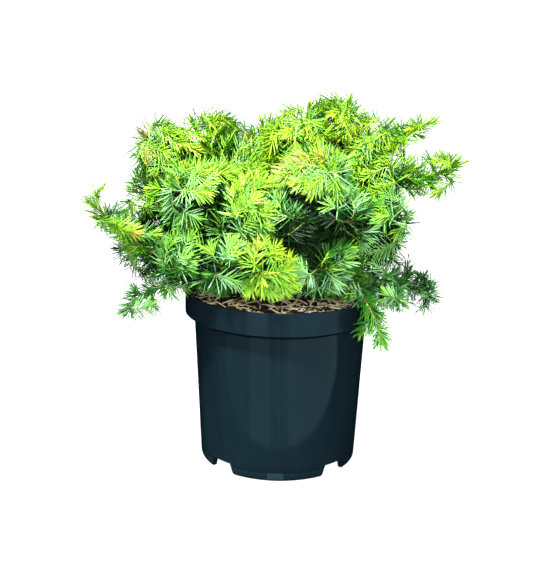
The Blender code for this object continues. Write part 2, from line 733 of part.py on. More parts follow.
def make_mass(mass, stem, facing, space, seed, finish):
    """One mass: its stem, core and side shoots, fused. Shoots are bare inside the core."""
    rng = np.random.default_rng(seed)
    share = np.arange(len(stem)) / (len(stem) - 1)
    bare = (share < CORE_END - 0.1) & (share > CORE_START)
    bare[0] = True
    body = needled_shoot(mass.name, stem, facing, STEM_RADIUS, bare, mass.name, space)
    body.data.materials.append(finish)
    shoots = [make_core(mass, stem, space, rng)]
    for curve in side_shoots(stem, mass, rng):
        curve = within_space(curve, mass.name, space)
        bare = np.linalg.norm(curve - curve[0], axis=1) < mass.spread * MM * CORE_WIDTH * 0.6
        if len(curve) > SHORTEST_SHOOT:
            turned_out = unit(curve[1] - curve[0])
            shoot = needled_shoot("side_shoot", curve, turned_out, SIDE_SHOOT_RADIUS, bare, mass.name, space)
            shoots.append(shoot)
    apply_boolean(body, "UNION", shoots)
    return body


def main():
    clear_scene()
    bark = material("bark", BARK_COLOUR, 0.85)
    lime = material("needles_lime", LIME_COLOUR, 0.5)
    green = material("needles_green", GREEN_COLOUR, 0.5)
    make_pot(material("pot_plastic", POT_COLOUR, 0.35))
    make_soil(material("potting_mix", SOIL_COLOUR, 0.95))
    limbs = {"trunk": make_trunk(bark)}
    stems = {}
    facings = {}
    for place, bough in enumerate(CROWN):
        parent = limbs[bough.parent]
        if bough.share == 1.0:
            limb = make_leader(bough, parent, place, bark)
        else:
            limb = make_bough(bough, parent, bark)
        limbs[bough.name] = limb
        for mass, side in zip(bough.masses, fork_sides(bough, limb)):
            stems[mass.name] = stem_curve(mass, limb, side)
            facings[mass.name] = tangents(limb.points)[-1]
    space = Space(stems, limbs.values())
    masses = [mass for bough in CROWN for mass in bough.masses]
    for index, mass in enumerate(masses):
        finish = lime if tip_of(mass)[2] > LIME_HEIGHT else green
        for attempt in range(ATTEMPTS):
            seed = SEED + index + 100 * attempt
            body = make_mass(mass, stems[mass.name], facings[mass.name], space, seed, finish)
            if cleaned(body) or attempt == ATTEMPTS - 1:
                break
            bpy.data.objects.remove(body, do_unlink=True)


main()
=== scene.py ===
import json
import math
from collections import namedtuple

import bmesh
import bpy
import numpy as np
from mathutils import Matrix, Quaternion, Vector, kdtree, noise

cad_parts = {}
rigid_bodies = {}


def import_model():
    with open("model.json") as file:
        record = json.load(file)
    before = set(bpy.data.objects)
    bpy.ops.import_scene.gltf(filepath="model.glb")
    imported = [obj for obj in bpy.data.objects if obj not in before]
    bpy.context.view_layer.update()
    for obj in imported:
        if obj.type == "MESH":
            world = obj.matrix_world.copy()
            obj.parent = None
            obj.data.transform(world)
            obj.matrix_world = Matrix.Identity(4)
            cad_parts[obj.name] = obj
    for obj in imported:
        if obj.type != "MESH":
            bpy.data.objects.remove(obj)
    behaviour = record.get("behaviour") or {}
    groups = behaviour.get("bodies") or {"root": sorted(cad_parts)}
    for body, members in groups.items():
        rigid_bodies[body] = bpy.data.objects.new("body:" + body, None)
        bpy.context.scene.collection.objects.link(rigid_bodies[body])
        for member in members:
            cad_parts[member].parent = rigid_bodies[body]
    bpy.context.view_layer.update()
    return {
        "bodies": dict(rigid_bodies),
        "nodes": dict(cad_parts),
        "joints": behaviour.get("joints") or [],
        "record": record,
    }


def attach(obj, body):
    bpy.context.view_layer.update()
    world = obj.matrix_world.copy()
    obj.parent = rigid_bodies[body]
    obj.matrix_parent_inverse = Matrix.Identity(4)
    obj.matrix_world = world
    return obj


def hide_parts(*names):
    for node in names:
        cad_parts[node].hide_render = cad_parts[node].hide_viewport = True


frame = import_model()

MM = 0.001

# The pot, the potting mix and the limbs, as in the part's source
RIM_RADIUS = 95 * MM
POT_HEIGHT = 174 * MM
BAND_HEIGHT = 22.7 * MM
BAND_FOOT = POT_HEIGHT - BAND_HEIGHT
BODY_TOP_RADIUS = 86 * MM
BODY_FOOT_RADIUS = 78.3 * MM
WALL = 1.4 * MM
RIM_ROUND = 0.6 * MM
FOOT_ROUND = 4 * MM
FOOT_RING_WIDTH = 2.6 * MM
NECK_DEPTH = 0.9 * MM  # the fine groove under the band
NECK_HEIGHT = 4 * MM
BASE_LIFT = 13 * MM
BASE_THICKNESS = 1.6 * MM
NOTCH_COUNT = 4
NOTCH_HEIGHT = 12 * MM
NOTCH_TOP_HALF = 12 * MM
NOTCH_FOOT_HALF = 17 * MM
DRAIN_RADIUS = 5 * MM
DRAIN_CIRCLE = 46 * MM
DRAIN_COUNT = 4
DRAIN_TURN = math.radians(7)
POT_STEPS = 192
GAP = 0.3 * MM
WELD = 0.001 * MM  # points nearer than this are one
SOIL_DEPTH_BELOW_RIM = 9 * MM
SOIL_TOP = POT_HEIGHT - SOIL_DEPTH_BELOW_RIM
SOIL_RINGS = 70
SOIL_STEPS = 260
TAB_TURNS = (-97.3, -85.6)  # the foot tab's sides, in degrees round the pot
TAB_HEIGHTS = (0.8, 9.0)  # mm
TAB_RINGS = 7
TAB_PROUD = 0.35 * MM
TAB_SUNK = 0.6 * MM
LITTER_COUNT = 430
LITTER_SHARES = (0.66, 0.22, 0.12)  # of pale, tan and brown fibres
BARK_DEPTH = 0.10  # of its ridges, for a limb's radius
TRUNK_TOP = (-3 * MM, 5.0 * MM, POT_HEIGHT + 42.0 * MM)
TRUNK_LEAN = 4 * MM
TRUNK_RADIUS = 9 * MM
TRUNK_TIP_RADIUS = 7.2 * MM
ROOT_FLARE = 5.5 * MM
ROOT_FLARE_HEIGHT = 9 * MM
LEADER_COUNT = 3
LEADER_OFFSET = 4.3 * MM
LEADER_RADIUS = 3.5 * MM
LEADER_TIP_RADIUS = 2.9 * MM
BOUGH_RADIUS = 3.3 * MM
BOUGH_TO_PARENT = 0.82
BOUGH_TAPER = 0.82
BOUGH_RINGS = 5
BOUGH_LEAVING = 0.45
TRUNK_RINGS = 9
LIMB_SAMPLES = 60
STEM_SAMPLES = 80
ARC_REACH = 0.38  # how far a curve keeps to each end's direction, for its span
CROWN_HALF_WIDTH = 186 * MM
CROWN_HALF_DEPTH = 133 * MM
STEM_OFFSET = 1.6 * MM
RIM_ARCH = 30 * MM
WHORL_SPACING = 9 * MM
TURN_PER_SHOOT = math.radians(137.5)
SEED = 7

# Finer growth of each mass
STEM_RADIUS = 1.25 * MM
SHOOT_RADIUS = 0.8 * MM
SHOOT_TIP_RADIUS = 0.35 * MM
SIDE_SHOOT_WIDTH = 2.1 * MM  # a mass has a side shoot for each such width of its spread
SIDE_ANGLE = math.radians(58)
SIDE_START = 0.06
SIDE_END = 0.97
SIDE_LEAN = 0.5
STEM_BEND = 60 * MM  # how far a mass's stem bows, to come to its tip along its lean
FLATTENING = 0.9  # how far shoots turn aside to lie along the crown's surface
INNER_LIFT = np.array((0.0, 0.0, 0.14))
TWIG_EVERY = 16 * MM  # of a side shoot's length
TWIG_LENGTH = 27 * MM
TWIG_ANGLE = math.radians(40)
TWIG_START = 0.15
TWIG_END = 0.8
INNER_EVERY = 4.2 * MM  # of a bough's length
INNER_START = 0.05  # of a stem, where its old inner shoots start
INNER_END = 0.7
INNER_NEEDLE_WIDTH = 1.8  # theirs, for others'
INNER_LENGTH = 30 * MM
INNER_ANGLE = math.radians(64)
INNER_SUNLIT = POT_HEIGHT + 118 * MM  # above this old inner shoots are in the light too
SHOOT_SAMPLES = 16
TWIG_RINGS = 5 * MM  # their spacing
TWIG_SIDES = 4
LIME_YOUTH = 0.45  # younger twigs than this are lime
SHORTEST = 9 * MM
STEM_BARE = 0.16
TWIG_RADIUS = 0.7  # a twig's, for a side shoot's
YOUTH_FOOT = POT_HEIGHT + 20 * MM  # growth is oldest here
YOUTH_RISE = 130 * MM  # and this far above it youngest
DEAD_SHARE = 0.002  # of shoots
SCORCHED_SHARE = 0.03
SCORCHED_YOUTH = 0.6  # only younger shoots than this are scorched
CROWN_CENTRE = np.array((0.0, 0.0, POT_HEIGHT + 55 * MM))
DIP = 0.24  # how far the crown draws in a spread away from a mass's tip, for its reach there
LEAST_REACH = 70 * MM
TIP_MARGIN = 4 * MM  # shoots end this far inside the crown's surface, for their needles
BACK_MARGIN = -5 * MM  # but those of the furthest masses behind grow a little past it
BACK_DEEP = 90  # mm, how far back these are
SHELL = 9 * MM  # depth of the crown's bright outer growth; deeper needles take painted shade tints
SHELL_FADE = 11 * MM
SHADES = ((0.4, "dusk"), (1.0, "deep"))  # how far down the fade each painted shade tint starts
NEEDLE_WHORLS = 3.3 * MM
BRUSH_LENGTH = 7 * MM
CLOSING_LENGTH = 11 * MM  # near its tip a shoot's needles close to a brush
BRUSH_WHORLS = 1.5 * MM
NEEDLES_ROUND = 3
NEEDLE_TURNS = (-0.15, 1.57, 3.29)  # round a shoot: one row to each side, one that stands out
NEEDLE_TURNS_APART = 0.30
NEEDLE_LENGTH = 16.5 * MM
NEEDLE_WIDTH = 0.95 * MM
NEEDLE_SPREAD = 10 * MM  # of a mass's spread, what its needles take up
NARROW_SKIRT = 7 * MM
SKIRT = 20 * MM  # side shoots over the pot keep this far above its rim
NEEDLE_KEEL = 0.55  # a needle's depth for its width
NEEDLE_RINGS = ((0.10, 0.90, 0.015), (0.74, 0.95, 0.035))  # share of length, of width, and bow
NEEDLE_ANGLE_FOOT = math.radians(60)
NEEDLE_ANGLE_TIP = math.radians(22)
CLEAR = 1 * MM
INNER_CLEAR = 4 * MM

Bough = namedtuple("Bough", "name parent share fork masses")
Mass = namedtuple("Mass", "name across deep above spread")
BOUGHS = (
    ("leader_back", "trunk", 1.0, 0.30,
     ("centre_top", -22, 34, 164, 42), ("back_top", 26, 78, 138, 46)),
    ("leader_left", "trunk", 1.0, 0.30,
     ("left_top", -92, 10, 165, 46), ("left_inner", -56, -16, 141, 42)),
    ("leader_right", "trunk", 1.0, 0.30,
     ("right_top", 64, 4, 187, 50), ("right_top_left", 24, -10, 183, 46)),
    ("bough_left_upper", "leader_left", 0.62, 0.30,
     ("left_shoulder", -141, 0, 153, 44), ("left_front", -104, -70, 114, 44)),
    ("bough_left_arm", "trunk", 0.76, 0.30,
     ("left_arm", -181, -58, 96, 36), ("left_side", -164, -6, 38, 44)),
    ("bough_left_low", "trunk", 0.30, 0.34,
     ("left_droop", -151, -62, -14, 30), ("left_low", -108, -80, 36, 46)),
    ("bough_front_left", "trunk", 0.66, 0.30,
     ("front_low", -66, -100, 36, 42), ("front_upper", -38, -88, 102, 50)),
    ("bough_front", "trunk", 0.40, 0.30,
     ("front_bright", -16, -108, 36, 46), ("front_middle", 14, -96, 92, 50)),
    ("bough_front_right", "trunk", 0.80, 0.30,
     ("front_right", 46, -102, 44, 44), ("rim_hanger", 94, -84, -34, 30)),
    ("bough_right_upper", "leader_right", 0.78, 0.30,
     ("right_front", 40, -78, 132, 50), ("right_shoulder", 104, 4, 166, 44)),
    ("bough_right_inner", "leader_right", 0.22, 0.30,
     ("front_right_upper", 68, -92, 88, 46), ("right_inner", 125, -20, 127, 42)),
    ("bough_right_arm", "leader_right", 0.48, 0.34,
     ("right_arm", 174, -10, 130, 30), ("right_arm_upper", 150, 14, 167, 26)),
    ("bough_right_side", "trunk", 0.58, 0.30,
     ("right_middle", 118, -56, 86, 44), ("right_side", 121, 8, 56, 44)),
    ("bough_right_low", "trunk", 0.20, 0.36,
     ("right_droop_outer", 152, -24, -4, 34), ("right_droop_inner", 116, -66, -1, 32)),
    ("bough_back_left", "leader_back", 0.85, 0.30,
     ("back_left_upper", -100, 72, 118, 46), ("back_left_side", -157, 32, 91, 46)),
    ("bough_back_middle", "trunk", 0.74, 0.30,
     ("back_middle", -32, 106, 92, 44), ("back_low", 6, 108, 42, 42)),
    ("bough_back_right", "leader_back", 0.45, 0.30,
     ("back_right_upper", 92, 66, 124, 46), ("back_right_side", 116, 70, 70, 44)),
    ("bough_back_low_left", "trunk", 0.46, 0.30,
     ("back_left_low", -96, 84, 10, 40), ("back_left_middle", -54, 100, 36, 40)),
    ("bough_back_low_right", "trunk", 0.30, 0.30,
     ("back_right_low", 106, 74, 10, 40), ("back_right_middle", 64, 100, 34, 40)),
)
CROWN = tuple(Bough(*row[:4], tuple(Mass(*mass) for mass in row[4:])) for row in BOUGHS)

# How far the stems of some masses bow at their middle: across, deep and above, in mm
BOWS = {
    "left_arm": (0, 0, -29),
    "left_droop": (6, 0, -8),
    "rim_hanger": (4, 0, 0),
    "right_arm": (0, 0, -6),
    "right_arm_upper": (0, 0, 14),
    "right_droop_outer": (0, 0, -9),
}

# Which masses share one piece of needles and one of twigs
REGIONS = {
    "crown_left": ("leader_left", "bough_left_upper"),
    "lower_left": ("bough_left_arm", "bough_left_low", "bough_front_left"),
    "crown_right": ("leader_right", "bough_right_upper", "bough_right_arm"),
    "front": ("bough_front", "bough_front_right", "bough_right_inner"),
    "lower_right": ("bough_right_side", "bough_right_low", "bough_back_right"),
    "crown_back": ("leader_back", "bough_back_left", "bough_back_middle"),
    "back_low": ("bough_back_low_left", "bough_back_low_right"),
}

# Needle colours: the pale upper face and the green keel side, as screen colours 0-255; the keel sides, turned
# into the crown, are darker than their own green as painted shade
TINTS = {
    "gold": ((208, 255, 60), (112, 176, 4)),
    "lime": ((182, 255, 58), (70, 162, 4)),
    "leaf": ((156, 250, 88), (38, 126, 12)),
    "mint": ((164, 242, 142), (24, 94, 22)),
    "blue": ((154, 226, 168), (16, 72, 34)),
    # dusk and deep are painted shade: darker needle colours for needles deep in the crown and on old inner
    # shoots
    "dusk": ((62, 146, 36), (12, 62, 8)),
    "deep": ((16, 58, 8), (2, 18, 2)),
    "tan": ((214, 190, 142), (178, 146, 98)),
    "scorch": ((238, 214, 84), (192, 150, 40)),
}
TINT_NAMES = tuple(TINTS)
NEEDLE_SHADE = 0.54  # the screen colours above are those of needles in full light
# From a shoot's foot to its tip
SPRAYS = {
    "golden": ("leaf", "lime", "lime", "gold"),
    "young": ("leaf", "leaf", "lime", "gold"),
    "fresh": ("mint", "leaf", "lime", "lime"),
    "green": ("mint", "mint", "leaf", "lime"),
    "old": ("blue", "mint", "mint", "leaf"),
    "grey": ("blue", "blue", "mint", "mint"),
    # painted shade: the tints of old inner shoots low in the crown
    "shaded": ("deep", "deep", "deep", "dusk"),
    "scorched": ("leaf", "lime", "lime", "scorch"),
    "dead": ("tan", "tan", "tan", "tan"),
}
SPRAYS_BY_YOUTH = ("grey", "old", "old", "green", "fresh", "young", "golden")

Limb = namedtuple("Limb", "points radii")
# bare is the share of a shoot, from its foot, that has no needles; whorls is their spacing
Shoot = namedtuple("Shoot", "points foot_radius youth inner bare whorls", defaults=(False, 0.0, NEEDLE_WHORLS))


# Curves, as in the part's source

def unit(vector):
    return vector / max(np.linalg.norm(vector), 1e-12)


def unit_rows(rows):
    return rows / np.maximum(np.linalg.norm(rows, axis=1), 1e-12)[:, None]


def around(radius, turn):
    return radius * math.cos(turn), radius * math.sin(turn)


def arc(start, leaving, arriving, end, count):
    reach = ARC_REACH * np.linalg.norm(end - start)
    p1, p2 = start + unit(leaving) * reach, end - unit(arriving) * reach
    t = np.linspace(0, 1, count)[:, None]
    return (1 - t) ** 3 * start + 3 * t * (1 - t) ** 2 * p1 + 3 * t ** 2 * (1 - t) * p2 + t ** 3 * end


def tangents(points):
    return unit_rows(np.gradient(points, axis=0))


def sides_of(points):
    along = tangents(points)
    first = np.cross(along[0], [0.0, 0.0, 1.0] if abs(along[0][2]) < 0.9 else [1.0, 0.0, 0.0])
    carried = [unit(first)]
    for direction in along[1:]:
        carried.append(unit(carried[-1] - direction * (carried[-1] @ direction)))
    across = np.array(carried)
    return along, across, np.cross(along, across)


def lengths_along(points):
    return np.concatenate([[0], np.cumsum(np.linalg.norm(np.diff(points, axis=0), axis=1))])


def length_of(points):
    return float(np.linalg.norm(np.diff(points, axis=0), axis=1).sum())


def resample(points, count):
    length = lengths_along(points)
    at = np.linspace(0, length[-1], count)
    return np.stack([np.interp(at, length, points[:, k]) for k in range(3)], axis=1)


def radii_of(limb, count):
    return np.interp(np.linspace(0, 1, count), np.linspace(0, 1, len(limb.radii)), limb.radii)


def tip_of(mass):
    return np.array([mass.across, mass.deep, mass.above]) * MM + [0, 0, POT_HEIGHT]


def place_on(limb, share):
    at = share * (len(limb.points) - 1)
    low = min(int(at), len(limb.points) - 2)
    part = at - low
    point = limb.points[low] * (1 - part) + limb.points[low + 1] * part
    radius = limb.radii[low] * (1 - part) + limb.radii[low + 1] * part
    return point, unit(limb.points[low + 1] - limb.points[low]), radius


# Limbs

def trunk_limb():
    foot = np.array([0.0, 0.0, SOIL_TOP + GAP])
    top = np.array(TRUNK_TOP)
    lean = np.array([TRUNK_LEAN, 0.0, 0.0])
    t = np.linspace(0, 1, TRUNK_RINGS)[:, None]
    points = foot + (top - foot) * t + lean * np.sin(math.pi * t)
    heights = points[:, 2] - foot[2]
    taper = TRUNK_RADIUS + (TRUNK_TIP_RADIUS - TRUNK_RADIUS) * t[:, 0]
    return Limb(points, taper + ROOT_FLARE * np.exp(-heights / ROOT_FLARE_HEIGHT))


def leader_limb(bough, trunk, place):
    turn = math.pi / 2 + math.tau * place / LEADER_COUNT
    along = sides_of(trunk.points)[0][-1]
    offset = np.array([*around(LEADER_OFFSET, turn), 0])
    offset = offset - along * (offset @ along)
    start = trunk.points[-1] + offset + along * GAP
    goal = np.mean([tip_of(mass) for mass in bough.masses], axis=0)
    curve = arc(start, along, goal - start, start + (goal - start) * bough.fork, LIMB_SAMPLES)
    return Limb(resample(curve, BOUGH_RINGS), np.linspace(LEADER_RADIUS, LEADER_TIP_RADIUS, BOUGH_RINGS))


def bough_limb(bough, parent):
    foot, parent_along, parent_radius = place_on(parent, bough.share)
    base = min(BOUGH_RADIUS, BOUGH_TO_PARENT * parent_radius)
    goal = np.mean([tip_of(mass) for mass in bough.masses], axis=0)
    leaving = unit(goal - foot) + parent_along * BOUGH_LEAVING
    curve = arc(foot, leaving, goal - foot, foot + (goal - foot) * bough.fork, LIMB_SAMPLES)
    return Limb(resample(curve, 2 * BOUGH_RINGS), np.linspace(base, BOUGH_TAPER * base, 2 * BOUGH_RINGS))


def fork_sides(bough, limb):
    out = tangents(limb.points)[-1]
    apart = (tip_of(bough.masses[0]) - tip_of(bough.masses[1])) * [1, 1, 0]
    apart = unit(apart - out * (apart @ out))
    return apart, -apart


def stem_curve(mass, limb, side):
    out = tangents(limb.points)[-1]
    tip = tip_of(mass)
    start = limb.points[-1] + side * STEM_OFFSET + out * GAP
    apart = np.linalg.norm(tip - start)
    droop = max(0.0, RIM_ARCH - (tip[2] - POT_HEIGHT)) / RIM_ARCH
    leaving = out + np.array([0, 0, droop])
    arriving = (tip - start) + out * 0.3 * apart - np.array([0, 0, 2.0 * droop * apart])
    curve = arc(start, leaving, arriving, tip, 40)
    share = np.linspace(0, 1, len(curve))[:, None]
    curve = curve + 4 * share * (1 - share) * np.array(BOWS.get(mass.name, (0, 0, 0))) * MM
    return resample(curve, max(4, round(length_of(curve) / WHORL_SPACING)) + 1)


# Where growth may go

def clear_of_pot(points, clear=CLEAR):
    radius = np.hypot(points[:, 0], points[:, 1])
    height = points[:, 2]
    over_rim = height > POT_HEIGHT + clear
    outside = radius > RIM_RADIUS + clear
    within = (radius < RIM_RADIUS - 3 * WALL - clear) & (height > SOIL_TOP + 2.5 * MM + clear)
    return over_rim | outside | within


# Masses of a single spray or a few: how long their side shoots are, for others'
NARROW = {"left_droop": 0.5, "rim_hanger": 0.6, "right_arm_upper": 0.7, "right_arm": 0.65, "left_arm": 0.6,
          "right_droop_outer": 0.55, "right_droop_inner": 0.65}
NARROW_WHORLS = 0.36  # how close their needles' whorls stand, for others'

# Hollows in the crown's face: across, deep and above in mm, and half their size each way
HOLLOWS = (
    ((36, -92, 74), (34, 26, 20)),
    ((18, -90, 101), (16, 22, 14)),
    ((-60, -92, 66), (13, 22, 11)),
    ((-20, -88, 108), (10, 20, 9)),
)
DIM = ((22, -90, 84), (66, 50, 40))  # a wide part of the face that stands back, in the shade
DIM_SHADE = 12 * MM
BRIGHT = ((-16, -112, 38), (52, 50, 36))  # the spray that hangs out over the pot's front, in full light
BRIGHT_LIGHT = 10 * MM
HOLLOW_HELD = 0.5  # how far into a hollow shoots grow
HOLLOW_SHADE = 16 * MM  # how much deeper in the shade its middle is than its place says
SHADE_BY_HEIGHT = 0.12  # the lower crown stands in the shade of the upper
SHADE_HEIGHT = 90 * MM
SUN_BY_HEIGHT = 0.5  # and its top, from this high, stands in the sun
SUN_HEIGHT = 112 * MM


def within(points, middle, half):
    """How far into a round space points are, from 0 outside to 1 at its middle."""
    off = (points - np.array(middle) * MM - [0, 0, POT_HEIGHT]) / (np.array(half) * MM)
    return np.maximum(0, 1 - (off ** 2).sum(axis=1))


def hollow_at(points):
    return np.max([within(points, *hollow) for hollow in HOLLOWS], axis=0)


class Surface:
    """The crown's outer surface: a rounded lobe about the tip of each mass."""

    def __init__(self):
        masses = [mass for bough in CROWN for mass in bough.masses]
        away = np.array([tip_of(mass) for mass in masses]) - CROWN_CENTRE
        self.far = np.linalg.norm(away, axis=1)
        self.towards = away / self.far[:, None]
        self.spread = np.array([mass.spread * MM for mass in masses])
        self.full = np.array([mass.name not in NARROW for mass in masses])

    def lobes(self, points):
        """How far each lobe comes in the direction of each point, and how far the point is."""
        away = points - CROWN_CENTRE
        far = np.maximum(np.linalg.norm(away, axis=1), 1e-6)
        apart = np.arccos(np.clip(away / far[:, None] @ self.towards.T, -1, 1)) * self.far
        return self.far * (1 - DIP * (apart / self.spread) ** 2), far

    def depth(self, points):
        """How deep points lie within the crown, made deeper for painted shade low down, in hollows and in the
        dim zone, and shallower for painted light at the top and on the bright spray; narrow masses stand out
        of it in full light.
        """
        lobes, far = self.lobes(points)
        high = points[:, 2] - POT_HEIGHT
        # painted shade and light, as mm of depth that choose darker or lighter needle tints
        low = SHADE_BY_HEIGHT * (SHADE_HEIGHT - high) - SUN_BY_HEIGHT * np.maximum(0, high - SUN_HEIGHT)
        painted_shade_offset = HOLLOW_SHADE * hollow_at(points) + DIM_SHADE * within(points, *DIM)
        painted_shade_offset -= BRIGHT_LIGHT * within(points, *BRIGHT)
        return lobes[:, self.full].max(axis=1) - far + low + painted_shade_offset

    def laid(self, points, margin):
        """A curve drawn in to the surface wherever it would come through it."""
        lobes, far = self.lobes(points)
        scale = np.minimum(1, (np.maximum(lobes.max(axis=1), LEAST_REACH) - margin) / far)
        return CROWN_CENTRE + (points - CROWN_CENTRE) * scale[:, None]


def tree_of(curves):
    points = np.vstack(curves)
    tree = kdtree.KDTree(len(points))
    for index, point in enumerate(points):
        tree.insert(point, index)
    tree.balance()
    return tree


class Space:
    """Each mass keeps to the points that are nearer its own stem than any other, clear of limbs and pot."""

    def __init__(self, stems, limbs):
        self.surface = Surface()
        self.owner = [name for name in stems for _ in range(STEM_SAMPLES)]
        self.stems = tree_of([resample(curve, STEM_SAMPLES) for curve in stems.values()])
        self.radii = np.concatenate([radii_of(limb, LIMB_SAMPLES) for limb in limbs])
        self.limbs = tree_of([resample(limb.points, LIMB_SAMPLES) for limb in limbs])

    def holds(self, name, point):
        _, index, apart = self.limbs.find(point)
        if self.owner[self.stems.find(point)[1]] != name or apart < self.radii[index] + CLEAR:
            return False
        if abs(point[0]) > CROWN_HALF_WIDTH or abs(point[1]) > CROWN_HALF_DEPTH:
            return False
        if hollow_at(point[None])[0] > HOLLOW_HELD:
            return False
        skirt = NARROW_SKIRT if name in NARROW else SKIRT
        over_pot = math.hypot(point[0], point[1]) < RIM_RADIUS + skirt
        return not over_pot or point[2] > POT_HEIGHT + skirt


def within_space(points, name, space):
    for k in range(1, len(points)):
        if not space.holds(name, points[k]):
            return points[:k]
    return points


# Growth

def youth_of(point, rng):
    """New growth is nearest the crown's top and furthest out."""
    high = (point[2] - YOUTH_FOOT) / YOUTH_RISE
    out = math.hypot(point[0] / CROWN_HALF_WIDTH, point[1] / CROWN_HALF_DEPTH)
    return float(np.clip(0.75 * high + 0.25 * out + rng.normal(0, 0.08), 0, 1))


# How much younger the growth of some masses is than its place says
MASS_YOUTH = {
    "front_bright": 0.85, "front_upper": 0.05, "front_middle": -0.1, "left_arm": 0.25, "right_arm": 0.35,
    "rim_hanger": 0.35, "left_droop": 0.2, "right_arm_upper": 0.3, "front_right_upper": -0.3,
    "right_middle": -0.2, "right_front": -0.1, "left_front": -0.15, "left_inner": -0.05,
    "front_right": 0.1, "right_side": 0.1,
}

LONGER = {"left_inner": 1.5, "left_top": 1.25, "left_shoulder": 1.25}  # their side shoots, for others'

# The way the side shoots of some masses lean as they grow: across, deep, above
LEANS = {
    "front_bright": (0.9, 0, -0.5), "front_upper": (0.8, 0, 0.3),
    "front_middle": (0.7, 0, 0.1), "front_right": (0.9, 0, -0.1),
    "right_front": (-0.9, 0, 0.1), "front_right_upper": (0.6, 0, 0.3),
    "front_low": (-0.5, 0, -0.1), "left_front": (-0.4, 0, 0.5),
    "left_inner": (0.1, 0.1, 1.1), "right_top_left": (0.15, 0, 0.7),
    "right_middle": (0.5, 0, 0.2), "right_inner": (0.2, 0, 0.5),
    "left_arm": (-0.2, 0, -0.8), "left_droop": (-0.3, 0, -0.6),
    "right_arm_upper": (0.1, 0, 0.6), "rim_hanger": (0.2, 0, -0.5),
    "right_arm": (0, 0, 0.6), "left_low": (0.3, 0, 0.3),
    "right_droop_outer": (0.2, 0, 0.1), "right_droop_inner": (0.2, 0, -0.5),
}


def branch(points, at, turn, angle, reach, lean, frame):
    """A shoot that leaves another at a turn round it, leans, and turns aside to lie along the crown."""
    along, across, over = frame
    radial = math.cos(turn) * across[at] + math.sin(turn) * over[at]
    leaving = math.cos(angle) * along[at] + math.sin(angle) * radial
    out = unit(points[at] - CROWN_CENTRE)
    towards = unit(leaving + lean)
    aside = unit(towards - FLATTENING * max(0.0, towards @ out) * out)
    end = points[at] + reach * unit(towards + aside)
    return resample(arc(points[at], leaving, aside, end, SHOOT_SAMPLES), SHOOT_SAMPLES)


def branches(points, name, space, rng, count, first, last, angle, length, lean, margin):
    """Shoots by turns round another, laid within the crown's surface, as far as their mass's space goes."""
    frame = sides_of(points)
    turn = rng.uniform(0, math.tau)
    for k in range(count):
        share = first + (last - first) * (k + rng.uniform(0.2, 0.8)) / count
        at = min(round(share * (len(points) - 1)), len(points) - 2)
        turn += TURN_PER_SHOOT + rng.uniform(-0.3, 0.3)
        reach = length * (1.3 - 0.55 * share) * rng.uniform(0.75, 1.2)
        curve = branch(points, at, turn, angle * rng.uniform(0.7, 1.25), reach, lean, frame)
        curve = space.surface.laid(curve, margin * rng.uniform(0.6, 1.5))
        curve = within_space(curve, name, space)
        if length_of(curve) > SHORTEST:
            yield curve


def grow(mass, stem, space, rng):
    """All the shoots of one mass: its stem, side shoots by turns round it, and twigs on those."""
    extra = MASS_YOUTH.get(mass.name, 0.0)
    narrow = NARROW.get(mass.name, 1.0)
    whorls = NEEDLE_WHORLS * (NARROW_WHORLS if mass.name in NARROW else 1)
    lean = SIDE_LEAN * np.array(LEANS.get(mass.name, (0.0, 0.0, 0.3)))
    margin = BACK_MARGIN if mass.deep > BACK_DEEP else TIP_MARGIN
    total = length_of(stem)
    stem = resample(stem, STEM_SAMPLES)[:round(STEM_SAMPLES * (1 - margin / total))]
    if mass.name not in NARROW:
        share = np.linspace(0, 1, len(stem))[:, None]
        stem = stem + lean * STEM_BEND * (share ** 3 - share)
    youth = youth_of(stem[-1], rng) + extra
    shoots = [Shoot(stem, STEM_RADIUS, youth, bare=STEM_BARE, whorls=whorls)]
    reach = (mass.spread * MM - NEEDLE_SPREAD) * narrow * LONGER.get(mass.name, 1.0)
    angle = SIDE_ANGLE * narrow ** 0.3
    count = round(mass.spread * MM / SIDE_SHOOT_WIDTH)
    for curve in branches(stem, mass.name, space, rng, count, SIDE_START, SIDE_END, angle, reach, lean,
                          margin):
        youth = youth_of(curve[-1], rng) + extra
        shoots.append(Shoot(curve, SHOOT_RADIUS, youth, whorls=whorls))
        count = round(length_of(curve) / TWIG_EVERY)
        for twig in branches(curve, mass.name, space, rng, count, TWIG_START, TWIG_END, TWIG_ANGLE,
                             TWIG_LENGTH * narrow, lean / 2, margin):
            age = youth + rng.normal(0, 0.05)
            shoots.append(Shoot(twig, TWIG_RADIUS * SHOOT_RADIUS, age, whorls=whorls))
    if mass.name not in NARROW:
        count = round(total * INNER_END / INNER_EVERY)
        for curve in branches(stem, mass.name, space, rng, count, INNER_START, INNER_END, INNER_ANGLE,
                              INNER_LENGTH, INNER_LIFT, margin):
            shoots.append(Shoot(curve, TWIG_RADIUS * SHOOT_RADIUS, 0.0, inner=True))
    return shoots


def inner_growth(limb, rng):
    """Short old shoots on a bough, in the shade."""
    count = round(length_of(limb.points) / INNER_EVERY)
    frame = sides_of(limb.points)
    turn = rng.uniform(0, math.tau)
    for k in range(count):
        share = 0.25 + 0.75 * (k + rng.uniform(0.2, 0.8)) / count
        at = min(round(share * (len(limb.points) - 1)), len(limb.points) - 1)
        turn += TURN_PER_SHOOT
        reach = INNER_LENGTH * rng.uniform(0.7, 1.2)
        angle = INNER_ANGLE * rng.uniform(0.8, 1.2)
        curve = branch(limb.points, at, turn, angle, reach, INNER_LIFT, frame)
        clear = clear_of_pot(curve, INNER_CLEAR)
        curve = curve if clear.all() else curve[:np.argmin(clear)]
        if len(curve) > 3 and length_of(curve) > SHORTEST:
            yield Shoot(curve, SHOOT_RADIUS, 0.0, inner=True)


